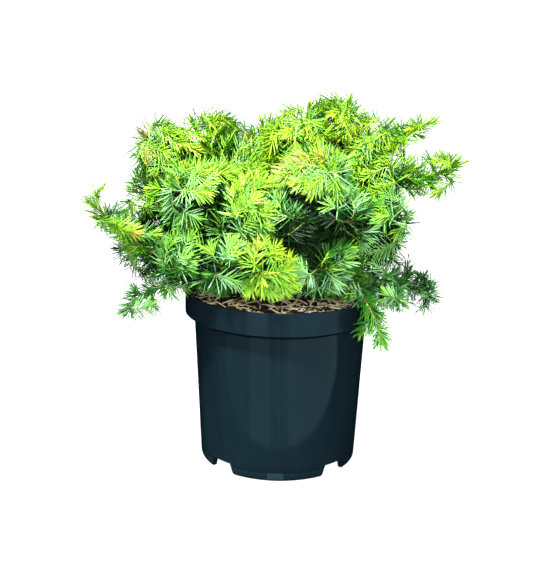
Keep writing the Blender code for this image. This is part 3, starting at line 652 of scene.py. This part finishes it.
def spray_of(shoot, rng):
    """The tints of a shoot's needles, from its foot to its tip."""
    chance = rng.uniform()
    if chance > 1 - DEAD_SHARE:
        return SPRAYS["dead"]
    if shoot.inner:
        return SPRAYS["old" if shoot.points[-1][2] > INNER_SUNLIT else "shaded"]
    if shoot.youth > SCORCHED_YOUTH and chance > 1 - SCORCHED_SHARE:
        return SPRAYS["scorched"]
    at = shoot.youth * (len(SPRAYS_BY_YOUTH) - 1) + rng.normal(0, 0.45)
    return SPRAYS[SPRAYS_BY_YOUTH[int(np.clip(round(at), 0, len(SPRAYS_BY_YOUTH) - 1))]]


def needles_on(shoot, surface, rng):
    """A shoot's needles: foot, shoot's direction, outward, way out, length, lean, tint and width."""
    total = length_of(shoot.points)
    body = np.arange(shoot.bare * total + 1.5 * MM, max(total - BRUSH_LENGTH, 0), shoot.whorls)
    brush = np.arange(max(total - BRUSH_LENGTH, shoot.bare * total), total, BRUSH_WHORLS)
    at = np.concatenate([body, brush])
    lengths = lengths_along(shoot.points)
    along, across, over = sides_of(shoot.points)
    at = np.clip(at + rng.uniform(-0.5, 0.5, len(at)) * MM, 0, total)

    def carried(rows):
        return np.stack([np.interp(at, lengths, rows[:, k]) for k in range(3)], axis=1)

    middle, forward, side, top = (carried(rows) for rows in (shoot.points, along, across, over))
    out = unit_rows(middle - CROWN_CENTRE)
    aside = np.cross(forward, out)
    lying = np.linalg.norm(aside, axis=1)[:, None]
    side = unit_rows(lying ** 2 * aside + 0.12 * side)
    top = np.cross(side, forward)
    share = at / total
    count = len(at)
    turn = np.array(NEEDLE_TURNS) + rng.normal(0, NEEDLE_TURNS_APART, (count, NEEDLES_ROUND))
    outward = np.cos(turn)[..., None] * side[:, None] + np.sin(turn)[..., None] * top[:, None]
    closing = np.clip(1 - (total - at) / CLOSING_LENGTH, 0, 1)[:, None]
    turned = 0.25 * share[:, None] + 0.75 * closing
    lean = NEEDLE_ANGLE_FOOT + (NEEDLE_ANGLE_TIP - NEEDLE_ANGLE_FOOT) * turned
    lean = lean + rng.normal(0, 0.10, (count, NEEDLES_ROUND))
    length = NEEDLE_LENGTH * (1 - 0.28 * closing) * rng.uniform(0.82, 1.12, (count, NEEDLES_ROUND))
    order = spray_of(shoot, rng)
    step = share[:, None] * len(order) + rng.normal(0, 0.16, (count, NEEDLES_ROUND))
    tint = np.array([TINT_NAMES.index(name) for name in order])[np.clip(step.astype(int), 0, len(order) - 1)]
    # Painted shade: needles deep in the crown take the dusk and deep tints
    shade = (surface.depth(middle) - SHELL) / SHELL_FADE + rng.normal(0, 0.1, count)
    shade = np.repeat(shade[:, None], NEEDLES_ROUND, axis=1)
    for level, name in SHADES:
        tint = np.where(shade > level, TINT_NAMES.index(name), tint)
    middle, forward, out = (np.repeat(rows, NEEDLES_ROUND, axis=0) for rows in (middle, forward, out))
    width = np.full(tint.size, NEEDLE_WIDTH * (INNER_NEEDLE_WIDTH if shoot.inner else 1))
    return middle, forward, outward.reshape(-1, 3), out, length.ravel(), lean.ravel(), tint.ravel(), width


# A needle's points: foot; left, right and keel of a ring near it and of one further on; tip
NEEDLE_FACES = np.array([
    (0, 1, 2), (1, 4, 5), (1, 5, 2), (4, 7, 5),
    (0, 3, 1), (3, 6, 4), (3, 4, 1), (6, 7, 4),
    (0, 2, 3), (2, 5, 6), (2, 6, 3), (5, 7, 6),
])
# slot 0 is the pale upper face, turned out of the crown; slot 1 the keel sides, turned into it, with painted
# shade in their colour
NEEDLE_SIDE = np.array([0, 0, 0, 0, 1, 1, 1, 1, 1, 1, 1, 1])


def needle_arrays(sets):
    """Closed keeled blades for all the needles: points, triangles and each triangle's material."""
    foot, forward, outward, out, length, lean, tint, wide = (np.concatenate(part) for part in zip(*sets))
    forward = unit_rows(forward)
    outward = unit_rows(outward - forward * (outward * forward).sum(axis=1)[:, None])
    ahead = np.cos(lean)[:, None] * forward + np.sin(lean)[:, None] * outward
    upper = out + 0.5 * forward
    upper = unit_rows(upper - ahead * (upper * ahead).sum(axis=1)[:, None])
    across = np.cross(upper, ahead)
    tip = foot + ahead * length[:, None]
    kept = clear_of_pot(tip) & clear_of_pot((foot + tip) / 2) & clear_of_pot(foot)
    wide = wide[:, None]
    rows = [foot]
    for share, width, bow in NEEDLE_RINGS:
        middle = foot + ahead * (share * length)[:, None] - upper * (bow * length)[:, None]
        half = across * wide * width / 2
        rows += [middle + half, middle - half, middle - upper * wide * width * NEEDLE_KEEL]
    points = np.stack(rows + [tip], axis=1)[kept]
    tint = tint[kept]
    faces = NEEDLE_FACES[None] + 8 * np.arange(len(points))[:, None, None]
    slots = 2 * tint[:, None] + NEEDLE_SIDE
    return points.reshape(-1, 3), faces.reshape(-1, 3), slots.ravel()


def quads(a, b, c, d):
    """Two triangles for each four corners."""
    return [np.stack([a, b, c], axis=1), np.stack([a, c, d], axis=1)]


def bands(rings, sides):
    """The triangles between each ring of points and the next."""
    k = np.arange(sides)
    after = (k + 1) % sides
    return [part for low in range(0, (rings - 1) * sides, sides)
            for part in quads(low + k, low + after, low + sides + after, low + sides + k)]


def tube_faces(rings, sides):
    """A closed tube's triangles; the points of its two ends come after those of its rings."""
    k = np.arange(sides)
    after = (k + 1) % sides
    last = (rings - 1) * sides
    foot = np.stack([after, k, np.full(sides, rings * sides)], axis=1)
    tip = np.stack([last + k, last + after, np.full(sides, rings * sides + 1)], axis=1)
    return np.vstack([*bands(rings, sides), foot, tip])


def tube_arrays(points, radii, sides, slot):
    _, across, over = sides_of(points)
    turn = math.tau * np.arange(sides) / sides
    ring = np.cos(turn)[None, :, None] * across[:, None] + np.sin(turn)[None, :, None] * over[:, None]
    verts = (points[:, None] + np.asarray(radii)[:, None, None] * ring).reshape(-1, 3)
    faces = tube_faces(len(points), sides)
    return np.vstack([verts, points[:1], points[-1:]]), faces, np.full(len(faces), slot)


def joined(sets):
    verts, faces, slots = zip(*sets)
    starts = np.cumsum([0] + [len(v) for v in verts[:-1]])
    return np.vstack(verts), np.vstack([f + s for f, s in zip(faces, starts)]), np.concatenate(slots)


def placed(name, data):
    obj = bpy.data.objects.new(name, data)
    bpy.context.scene.collection.objects.link(obj)
    return obj


def piece(name, arrays, materials, nodes=(), smooth=False):
    """A triangle mesh as a piece that rides on the part."""
    verts, faces, slots = arrays
    mesh = bpy.data.meshes.new(name)
    mesh.vertices.add(len(verts))
    mesh.vertices.foreach_set("co", np.ascontiguousarray(verts, dtype=np.float32).ravel())
    mesh.loops.add(3 * len(faces))
    mesh.loops.foreach_set("vertex_index", np.ascontiguousarray(faces, dtype=np.int32).ravel())
    mesh.polygons.add(len(faces))
    mesh.polygons.foreach_set("loop_start", np.arange(0, 3 * len(faces), 3, dtype=np.int32))
    mesh.polygons.foreach_set("material_index", np.ascontiguousarray(slots, dtype=np.int32))
    mesh.polygons.foreach_set("use_smooth", np.full(len(faces), smooth))
    for made in materials:
        mesh.materials.append(made)
    mesh.update(calc_edges=True)
    return dressed(placed(name, mesh), nodes)


def dressed(obj, nodes):
    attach(obj, "root")
    if nodes:
        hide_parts(*nodes)
    return obj


# Materials

GRAIN_RAMP = (0.35, 0.68)


def linear(value):
    value = value / 255
    return value / 12.92 if value <= 0.04045 else ((value + 0.055) / 1.055) ** 2.4


def linear_colour(colour):
    return tuple(linear(value) for value in colour) + (1.0,)


def settle(node, **values):
    """Values of a node's sockets, which are named with _ for a space."""
    for name, value in values.items():
        node.inputs[name.replace("_", " ")].default_value = value


def plain(name, colour, roughness, specular=0.4, shade=1.0):
    made = bpy.data.materials.new(name)
    made.use_nodes = True
    base = [shade * part for part in linear_colour(colour)[:3]] + [1.0]
    shader = made.node_tree.nodes["Principled BSDF"]
    settle(shader, Base_Color=base, Roughness=roughness, Specular_IOR_Level=specular)
    return made


def grained(name, dark, light, scale, stretch=(1, 1, 1), roughness=0.9, bump=0.4, depth=0.5 * MM,
            specular=0.3):
    """A material whose colour and relief both follow one noise."""
    made = plain(name, dark, roughness, specular)
    nodes, links = made.node_tree.nodes, made.node_tree.links
    shader = nodes["Principled BSDF"]
    place = nodes.new("ShaderNodeTexCoord")
    mapping = nodes.new("ShaderNodeMapping")
    settle(mapping, Scale=stretch)
    grain = nodes.new("ShaderNodeTexNoise")
    settle(grain, Scale=scale, Detail=6, Roughness=0.65)
    ramp = nodes.new("ShaderNodeValToRGB")
    for element, position, colour in zip(ramp.color_ramp.elements, GRAIN_RAMP, (dark, light)):
        element.position = position
        element.color = linear_colour(colour)
    relief = nodes.new("ShaderNodeBump")
    settle(relief, Strength=bump, Distance=depth)
    for one, out, other, into in (
        (place, "Object", mapping, "Vector"), (mapping, "Vector", grain, "Vector"),
        (grain, "Fac", ramp, "Fac"), (ramp, "Color", shader, "Base Color"),
        (grain, "Fac", relief, "Height"), (relief, "Normal", shader, "Normal"),
    ):
        links.new(one.outputs[out], other.inputs[into])
    return made


# Pot

def body_radius(height):
    return BODY_FOOT_RADIUS + (BODY_TOP_RADIUS - BODY_FOOT_RADIUS) * (height / BAND_FOOT)


def rounded(corner, radius, start, stop, count=5):
    points = (around(radius, turn) for turn in np.radians(np.linspace(start, stop, count)))
    return [(corner[0] + x, corner[1] + y) for x, y in points]


def pot_profile():
    """The part's own profile, with its edges rounded finely."""
    floor_top = BASE_LIFT + BASE_THICKNESS
    foot = (body_radius(FOOT_ROUND) - FOOT_ROUND, FOOT_ROUND)
    inner = RIM_RADIUS - WALL - RIM_ROUND
    small = 0.5 * MM
    neck = body_radius(BAND_FOOT) - NECK_DEPTH
    crease, half, deep = 8.5 * MM, 0.6 * MM, 0.22 * MM
    heights = np.linspace(BAND_FOOT - NECK_HEIGHT - 0.5 * MM, FOOT_ROUND, 12)
    body = [(body_radius(h), h) for h in heights if abs(h - crease) > 1.5 * MM]
    groove = [(body_radius(crease) - deep, crease)]
    groove += [(body_radius(crease + side), crease + side) for side in (half, -half)]
    body = sorted(body + groove, key=lambda point: -point[1])
    outside = (
        rounded((inner + RIM_ROUND, POT_HEIGHT - small), small, 180, 90)
        + rounded((RIM_RADIUS - RIM_ROUND, POT_HEIGHT - RIM_ROUND), RIM_ROUND, 90, 0)
        + rounded((RIM_RADIUS - RIM_ROUND, BAND_FOOT + RIM_ROUND), RIM_ROUND, 0, -90)
        + [(neck, BAND_FOOT), (neck, BAND_FOOT - NECK_HEIGHT)]
        + body[:-1]
        + rounded(foot, FOOT_ROUND, 0, -90, 9)
    )
    under = [(foot[0] - FOOT_RING_WIDTH, 0), (foot[0] - FOOT_RING_WIDTH, BASE_LIFT), (0, BASE_LIFT)]
    inside = [(inner, BAND_FOOT + WALL), (body_radius(BAND_FOOT) - WALL, BAND_FOOT + WALL),
              (body_radius(floor_top) - WALL, floor_top), (0, floor_top)]
    return inside[::-1] + outside + under


def mesh_of(name, bm):
    bmesh.ops.recalc_face_normals(bm, faces=bm.faces)
    mesh = bpy.data.meshes.new(name)
    bm.to_mesh(mesh)
    bm.free()
    return mesh


def notch(turn):
    bm = bmesh.new()
    outline = [
        (-NOTCH_FOOT_HALF, -FOOT_ROUND), (NOTCH_FOOT_HALF, -FOOT_ROUND),
        (NOTCH_TOP_HALF, NOTCH_HEIGHT), (-NOTCH_TOP_HALF, NOTCH_HEIGHT),
    ]
    face = bm.faces.new([bm.verts.new((0.8 * BODY_FOOT_RADIUS, y, z)) for y, z in outline])
    grown = bmesh.ops.extrude_face_region(bm, geom=[face])
    moved = [v for v in grown["geom"] if isinstance(v, bmesh.types.BMVert)]
    bmesh.ops.translate(bm, vec=(0.4 * BODY_FOOT_RADIUS, 0, 0), verts=moved)
    bmesh.ops.rotate(bm, cent=(0, 0, 0), matrix=Matrix.Rotation(turn, 3, "Z"), verts=bm.verts)
    return bpy.data.objects.new("notch", mesh_of("notch", bm))


def drain(x, y):
    bm = bmesh.new()
    at = Matrix.Translation((x, y, BASE_LIFT + BASE_THICKNESS / 2))
    bmesh.ops.create_cone(bm, cap_ends=True, segments=32, radius1=DRAIN_RADIUS, radius2=DRAIN_RADIUS,
                          depth=4 * BASE_THICKNESS, matrix=at)
    return bpy.data.objects.new("drain", mesh_of("drain", bm))


def make_pot(finish, neck_painted_shade_finish):
    bm = bmesh.new()
    verts = [bm.verts.new((radius, 0, height)) for radius, height in pot_profile()]
    edges = [bm.edges.new(pair) for pair in zip(verts, verts[1:])]
    bmesh.ops.spin(bm, geom=verts + edges, cent=(0, 0, 0), axis=(0, 0, 1), angle=math.tau, steps=POT_STEPS)
    bmesh.ops.remove_doubles(bm, verts=bm.verts, dist=WELD)
    pot = placed("pot_shell", mesh_of("pot_shell", bm))
    tools = bpy.data.collections.new("pot_tools")
    bpy.context.scene.collection.children.link(tools)
    turns = [math.tau * k / DRAIN_COUNT + DRAIN_TURN for k in range(DRAIN_COUNT)]
    cutters = [notch(math.tau * (k + 0.5) / NOTCH_COUNT) for k in range(NOTCH_COUNT)] + [drain(0, 0)]
    cutters += [drain(*around(DRAIN_CIRCLE, turn)) for turn in turns]
    for tool in cutters:
        tools.objects.link(tool)
    cut = pot.modifiers.new("cut", "BOOLEAN")
    cut.operation = "DIFFERENCE"
    cut.operand_type = "COLLECTION"
    cut.collection = tools
    cut.solver = "EXACT"
    bpy.context.view_layer.update()
    made = bpy.data.meshes.new_from_object(pot.evaluated_get(bpy.context.evaluated_depsgraph_get()))
    pot.modifiers.clear()
    pot.data = made
    for tool in cutters:
        bpy.data.objects.remove(tool, do_unlink=True)
    bpy.data.collections.remove(tools)
    made.materials.clear()
    for one in (finish, neck_painted_shade_finish):
        made.materials.append(one)
    # the neck faces under the band take the darker neck material: painted shade under the band's overhang
    for face in made.polygons:
        at = face.center
        outer = math.hypot(at.x, at.y) > body_radius(BAND_FOOT) - NECK_DEPTH - 0.5 * MM
        face.material_index = int(outer and BAND_FOOT - NECK_HEIGHT - 0.6 * MM < at.z < BAND_FOOT + 0.1 * MM)
    made.polygons.foreach_set("use_smooth", np.full(len(made.polygons), True))
    made.set_sharp_from_angle(angle=math.radians(35))
    return dressed(pot, ("pot",))


def make_foot_tab(finish):
    """A thin raised rectangle low on the pot's front, let into its wall."""
    turns = np.radians(np.linspace(*TAB_TURNS, 9))
    verts = []
    for height in np.linspace(*TAB_HEIGHTS, TAB_RINGS) * MM:
        low = max(0.0, FOOT_ROUND - height)
        round_in = FOOT_ROUND - math.sqrt(FOOT_ROUND ** 2 - low ** 2)
        for proud, way in ((TAB_PROUD, turns), (-TAB_SUNK, turns[::-1])):
            radius = body_radius(max(height, FOOT_ROUND)) - round_in + proud
            verts += [(*around(radius, turn), height) for turn in way]
    sides = 2 * len(turns)
    top = len(verts) - sides
    k = np.arange(len(turns) - 1)
    faces = bands(TAB_RINGS, sides) + quads(k + 1, k, sides - 1 - k, sides - 2 - k)
    faces += quads(top + k, top + k + 1, top + sides - 2 - k, top + sides - 1 - k)
    faces = np.vstack(faces)
    piece("pot_foot_tab", (np.array(verts), faces, np.zeros(len(faces))), [finish])


# Potting mix

def make_soil(finish):
    """The mix, with its rough top: rings of points lifted by noise."""
    brim = RIM_RADIUS - WALL - RIM_ROUND - GAP
    rings, steps = SOIL_RINGS, SOIL_STEPS
    turns = [math.tau * k / steps for k in range(steps)]
    verts = []
    for ring in range(rings + 1):
        for x, y in (around(brim * ring / rings, turn) for turn in turns):
            lumps = noise.noise(Vector((x, y, 0)) * 90) + 0.7 * noise.noise(Vector((x, y, 3)) * 260)
            crumbs = noise.noise(Vector((x, y, 9)) * 700)
            edge = min(1.0, (rings - ring) / 4)
            verts.append((x, y, SOIL_TOP + (1.6 * lumps + 0.7 * crumbs) * MM * edge))
    step = BAND_FOOT + WALL + GAP
    floor = BASE_LIFT + BASE_THICKNESS + GAP
    for radius, height in ((brim, step), (body_radius(step) - WALL - 2 * GAP, step),
                           (body_radius(floor) - WALL - 2 * GAP, floor), (0, floor)):
        verts += [(*around(radius, turn), height) for turn in turns]
    faces = np.vstack(bands(len(verts) // steps, steps))[:, ::-1]
    arrays = (np.array(verts), faces, np.zeros(len(faces)))
    obj = piece("peat", arrays, [finish], ("soil",), smooth=True)
    bm = bmesh.new()
    bm.from_mesh(obj.data)
    bmesh.ops.remove_doubles(bm, verts=bm.verts, dist=WELD)
    bmesh.ops.dissolve_degenerate(bm, edges=bm.edges, dist=1e-7)
    bm.to_mesh(obj.data)
    bm.free()
    return obj


def strip_arrays(middle, along, length, width, thick, bend, slot):
    """A torn bark fibre: a thin strip, bent along its length and pointed at its ends."""
    side = unit(np.cross(along, [0, 0, 1]) + 1e-9)
    up = np.cross(side, along)
    t = np.linspace(-1, 1, 6)
    points = middle + np.outer(t * length / 2, along) + np.outer(bend * (1 - t ** 2), up)
    widths = width * np.sqrt(np.clip(1.05 - t ** 2, 0.08, 1))
    corners = []
    for point, wide in zip(points, widths):
        for a, b in ((1, 0.5), (-1, 0.5), (-0.8, -0.5), (0.8, -0.5)):
            corners.append(point + side * wide / 2 * a + up * thick * b)
    verts = np.array(corners + [points[0] - along * length * 0.06, points[-1] + along * length * 0.06])
    faces = tube_faces(len(points), 4)
    return verts, faces, np.full(len(faces), slot)


def make_litter(finishes):
    """Bark fibres and chips lying on the mix."""
    rng = np.random.default_rng(SEED + 900)
    made = []
    for _ in range(LITTER_COUNT):
        radius = (RIM_RADIUS - 9 * MM) * math.sqrt(rng.uniform(0.03, 1))
        turn = rng.uniform(0, math.tau)
        heading = rng.uniform(0, math.tau)
        tilt = rng.normal(0, 0.16)
        along = unit(np.array([*around(1, heading), tilt]))
        length = rng.uniform(6, 20) * MM
        width = rng.uniform(0.9, 2.9) * MM
        reach = min(1.0, (RIM_RADIUS - 4 * MM - radius) / (length * 0.56))
        length *= max(reach, 0.3)
        lift = rng.uniform(0.4, 2.6) * MM
        middle = np.array([*around(radius, turn), SOIL_TOP + lift])
        slot = rng.choice(len(finishes), p=LITTER_SHARES)
        thick, bend = rng.uniform(0.3, 0.8) * MM, rng.uniform(-0.5, 1.5) * MM
        made.append(strip_arrays(middle, along, length, width, thick, bend, slot))
    return piece("bark_litter", joined(made), finishes)


# Trunk and boughs

def bark_arrays(limb, rings, sides):
    """A limb's own tube, finely divided, with ridged bark."""
    points = resample(limb.points, rings)
    verts, faces, slots = tube_arrays(points, radii_of(limb, rings), sides, 0)
    for index in range(rings * sides):
        centre = points[index // sides]
        out = verts[index] - centre
        place = Vector(verts[index])
        ridge = noise.noise(Vector((place.x * 420, place.y * 420, place.z * 130)))
        flake = noise.noise(Vector((place.x * 900, place.y * 900, place.z * 300 + 7)))
        verts[index] = centre + out * (1 + BARK_DEPTH * (ridge + 0.5 * flake))
    return verts, faces, slots


def make_limbs(limbs, bark):
    trunk = bark_arrays(limbs["trunk"], 48, 36)
    floor = SOIL_TOP - 2 * MM
    low = trunk[0][:, 2] < SOIL_TOP + 1.2 * MM
    trunk[0][low, 2] = np.minimum(trunk[0][low, 2], floor)
    piece("trunk_bark", trunk, [bark], ("trunk",), smooth=True)
    others = [name for name in limbs if name != "trunk"]
    arrays = [bark_arrays(limbs[name], 26, 12) for name in others]
    piece("bough_bark", joined(arrays), [bark], others, smooth=True)


# The plant

def skeleton():
    limbs = {"trunk": trunk_limb()}
    stems = {}
    for place, bough in enumerate(CROWN):
        parent = limbs[bough.parent]
        limb = leader_limb(bough, parent, place) if bough.share == 1.0 else bough_limb(bough, parent)
        limbs[bough.name] = limb
        for mass, side in zip(bough.masses, fork_sides(bough, limb)):
            stems[mass.name] = stem_curve(mass, limb, side)
    return limbs, stems


def make_foliage(limbs, stems, needle_finishes, twig_finishes):
    space = Space(stems, limbs.values())
    boughs = {bough.name: bough for bough in CROWN}
    grown = {}
    for bough in CROWN:
        for mass in bough.masses:
            rng = np.random.default_rng(SEED + len(grown))
            grown[mass.name] = grow(mass, stems[mass.name], space, rng)
            if mass is bough.masses[0]:
                grown[mass.name] += inner_growth(limbs[bough.name], rng)
    for number, (region, names) in enumerate(REGIONS.items()):
        rng = np.random.default_rng(SEED + 100 + number)
        nodes = [mass.name for name in names for mass in boughs[name].masses]
        needles, twigs = [], []
        for shoot in (shoot for node in nodes for shoot in grown[node]):
            needles.append(needles_on(shoot, space.surface, rng))
            count = max(4, round(length_of(shoot.points) / TWIG_RINGS))
            points = resample(shoot.points, count)
            radii = np.linspace(shoot.foot_radius, SHOOT_TIP_RADIUS, count)
            old = shoot.inner or shoot.foot_radius == STEM_RADIUS
            slot = 0 if old else 1 + (shoot.youth > LIME_YOUTH)
            twigs.append(tube_arrays(points, radii, TWIG_SIDES, slot))
        piece("needles_" + region, needle_arrays(needles), needle_finishes, nodes)
        piece("twigs_" + region, joined(twigs), twig_finishes, smooth=True)


DRAWN = (1, 1, 0.12)  # the pot's grain, drawn out along its height
pot_plastic = grained("pot_plastic_satin", (10, 22, 28), (12, 25, 31), 60, DRAWN, 0.12, 0.03, 0.1 * MM, 0.12)
# the neck band under the rim, darker and less glossy than the pot: painted shade under the band
pot_neck = grained("pot_neck_painted_shade", (3, 11, 15), (4, 13, 18), 60, DRAWN, 0.3, 0.03, 0.1 * MM, 0.03)
pot_tab = grained("pot_tab_satin", (18, 34, 40), (26, 44, 50), 300, (1, 1, 1), 0.2, 0.1, 0.1 * MM, 0.1)
peat = grained("peat_crumb", (18, 12, 7), (74, 54, 36), 420, roughness=0.95, bump=0.9, depth=1.2 * MM)
bark = grained("conifer_bark", (70, 48, 34), (150, 112, 82), 260, (1, 1, 0.3), 0.9, 0.8, 0.8 * MM)
fibres = [
    grained("fibre_pale", (255, 238, 190), (255, 252, 226), 500, roughness=0.85),
    grained("fibre_tan", (236, 204, 146), (250, 230, 178), 500, roughness=0.85),
    grained("fibre_brown", (60, 42, 26), (124, 92, 60), 500, roughness=0.9),
]
needle_materials = [
    plain(f"needle_{name}_{side}", colour, 0.42, 0.3, NEEDLE_SHADE)
    for name in TINT_NAMES for side, colour in zip(("upper", "keel"), TINTS[name])
]
twig_materials = [
    grained("twig_brown", (96, 70, 44), (160, 126, 84), 300, roughness=0.8),
    grained("twig_green", (92, 128, 52), (140, 176, 84), 300, roughness=0.6),
    grained("twig_lime", (160, 196, 40), (196, 224, 84), 300, roughness=0.6),
]

limbs, stems = skeleton()
make_pot(pot_plastic, pot_neck)
make_foot_tab(pot_tab)
make_soil(peat)
make_litter(fibres)
make_limbs(limbs, bark)
make_foliage(limbs, stems, needle_materials, twig_materials)


# Stage

def glowing(name, colour, roughness, specular, glow, strength):
    made = plain(name, colour, roughness, specular)
    settle(made.node_tree.nodes["Principled BSDF"], Emission_Color=(*glow, 1.0), Emission_Strength=strength)
    return made


def staged(name, verts, faces, finish, *unseen):
    """A piece of the set, which isn't part of the object, and the kinds of ray that don't see it."""
    mesh = bpy.data.meshes.new(name)
    mesh.from_pydata(verts, [], faces)
    mesh.materials.append(finish)
    obj = placed(name, mesh)
    for ray in unseen:
        setattr(obj, "visible_" + ray, False)


def sun(name, energy, degrees, towards):
    """A sun that stands in a direction and is some degrees wide."""
    data = bpy.data.lights.new(name, "SUN")
    data.energy = energy
    data.angle = math.radians(degrees)
    light = placed(name, data)
    light.rotation_mode = "QUATERNION"
    light.rotation_quaternion = Vector(towards).to_track_quat("Z", "Y")


def panel(name, outline, radiance):
    """A soft bluish panel lying in front of the pot, which only gloss shows."""
    finish = glowing(name, (0, 0, 0), 1.0, 0.0, (0.5, 0.86, 1.0), radiance)
    staged(name, [(x, y, PANEL_LIFT) for x, y in outline], [tuple(range(len(outline)))], finish,
           "camera", "diffuse", "shadow")


FLOOR_REACH = 400.0
BACKDROP_RADIUS = 39.0
BACKDROP_HEIGHT = 24.0
BACKDROP_STEPS = 96
PANEL_LIFT = 0.001
FAR = -2.4  # where the panels end, in front of the pot
STREAKS = (1.3, 0.4, 1.0, 0.6, 1.4, 0.5, 1.2, 0.8)  # radiance of the strips of the middle panel
STREAKS_NEAR = (-0.025, 0.052)  # where its near edge starts, and its width
STREAKS_FAR = (-0.687, 1.063)
STREAKS_FRONT = -0.1415  # where its near edge is, in front of the pot

pale = glowing("floor_pale", (120, 120, 120), 0.9, 0.1, (1.0, 1.0, 1.0), 0.98)
corners = [(x * FLOOR_REACH, y * FLOOR_REACH, 0) for x, y in ((-1, -1), (1, -1), (1, 1), (-1, 1))]
staged("floor", corners, [(0, 1, 2, 3)], pale, "glossy")

# A white wall all round, inside the floor's edge, which only the camera sees
ring = [around(BACKDROP_RADIUS, k * math.tau / BACKDROP_STEPS) for k in range(BACKDROP_STEPS)]
wall = [(k, (k + 1) % BACKDROP_STEPS) for k in range(BACKDROP_STEPS)]
staged("backdrop", [(x, y, z) for z in (0.0, BACKDROP_HEIGHT) for x, y in ring],
       [(k, after, BACKDROP_STEPS + after, BACKDROP_STEPS + k) for k, after in wall], pale,
       "diffuse", "glossy", "shadow")

world = bpy.data.worlds.new("studio")
world.use_nodes = True
settle(world.node_tree.nodes["Background"], Color=(1.0, 1.0, 1.0, 1.0), Strength=0.45)
world.cycles_visibility.glossy = False
bpy.context.scene.world = world
bpy.context.scene.view_settings.view_transform = "Standard"
sun("key", 12.0, 6, (-0.42, -0.50, 1.30))
sun("front", 3.2, 30, (0.12, -1.0, 0.45))

panel("panel_side", ((-2.4, FAR), (-1.97, FAR), (-0.082, -0.138), (-0.144, -0.131), (-0.219, -0.120),
                     (-0.279, -0.118), (-0.359, -0.133), (-2.4, -0.9)), 0.6)
panel("panel_left", ((-1.97, FAR), (-0.687, FAR), (-0.025, -0.141), (-0.060, -0.140), (-0.082, -0.138)), 1.5)
for number, radiance in enumerate(STREAKS):
    far, near = ([start + width * (number + side) / len(STREAKS) for side in (0, 1)]
                 for start, width in (STREAKS_FAR, STREAKS_NEAR))
    outline = ((far[0], FAR), (far[1], FAR), (near[1], STREAKS_FRONT), (near[0], STREAKS_FRONT))
    panel(f"panel_streak_{number}", outline, radiance)
panel("panel_right", ((0.376, FAR), (2.2, FAR), (2.2, -0.3), (0.42, -0.12), (0.390, -0.104),
                      (0.315, -0.082), (0.255, -0.099), (0.173, -0.119), (0.132, -0.131), (0.090, -0.138),
                      (0.027, -0.142)), 1.8)

# The camera: the photograph's own angle, in pixels of its frame
FRAME_HEIGHT = 574
SENSOR_WIDTH = 36.0
CLIP_END = 1000.0
FOCAL_PX = 1062.0
DISTANCE = 1.059
ELEVATION = math.radians(14.49)
ROLL = math.radians(1.11)
TARGET = Vector((-0.0078, 0.0, 0.1746))

camera = placed("camera", bpy.data.cameras.new("camera"))
camera.data.sensor_width = SENSOR_WIDTH
camera.data.clip_end = CLIP_END
camera.data.lens = SENSOR_WIDTH * FOCAL_PX / FRAME_HEIGHT
back = Vector((0.0, -math.cos(ELEVATION), math.sin(ELEVATION)))
camera.location = TARGET + back * DISTANCE
camera.rotation_mode = "QUATERNION"
camera.rotation_quaternion = (-back).to_track_quat("-Z", "Y") @ Quaternion((0, 0, 1), ROLL)
bpy.context.scene.camera = camera
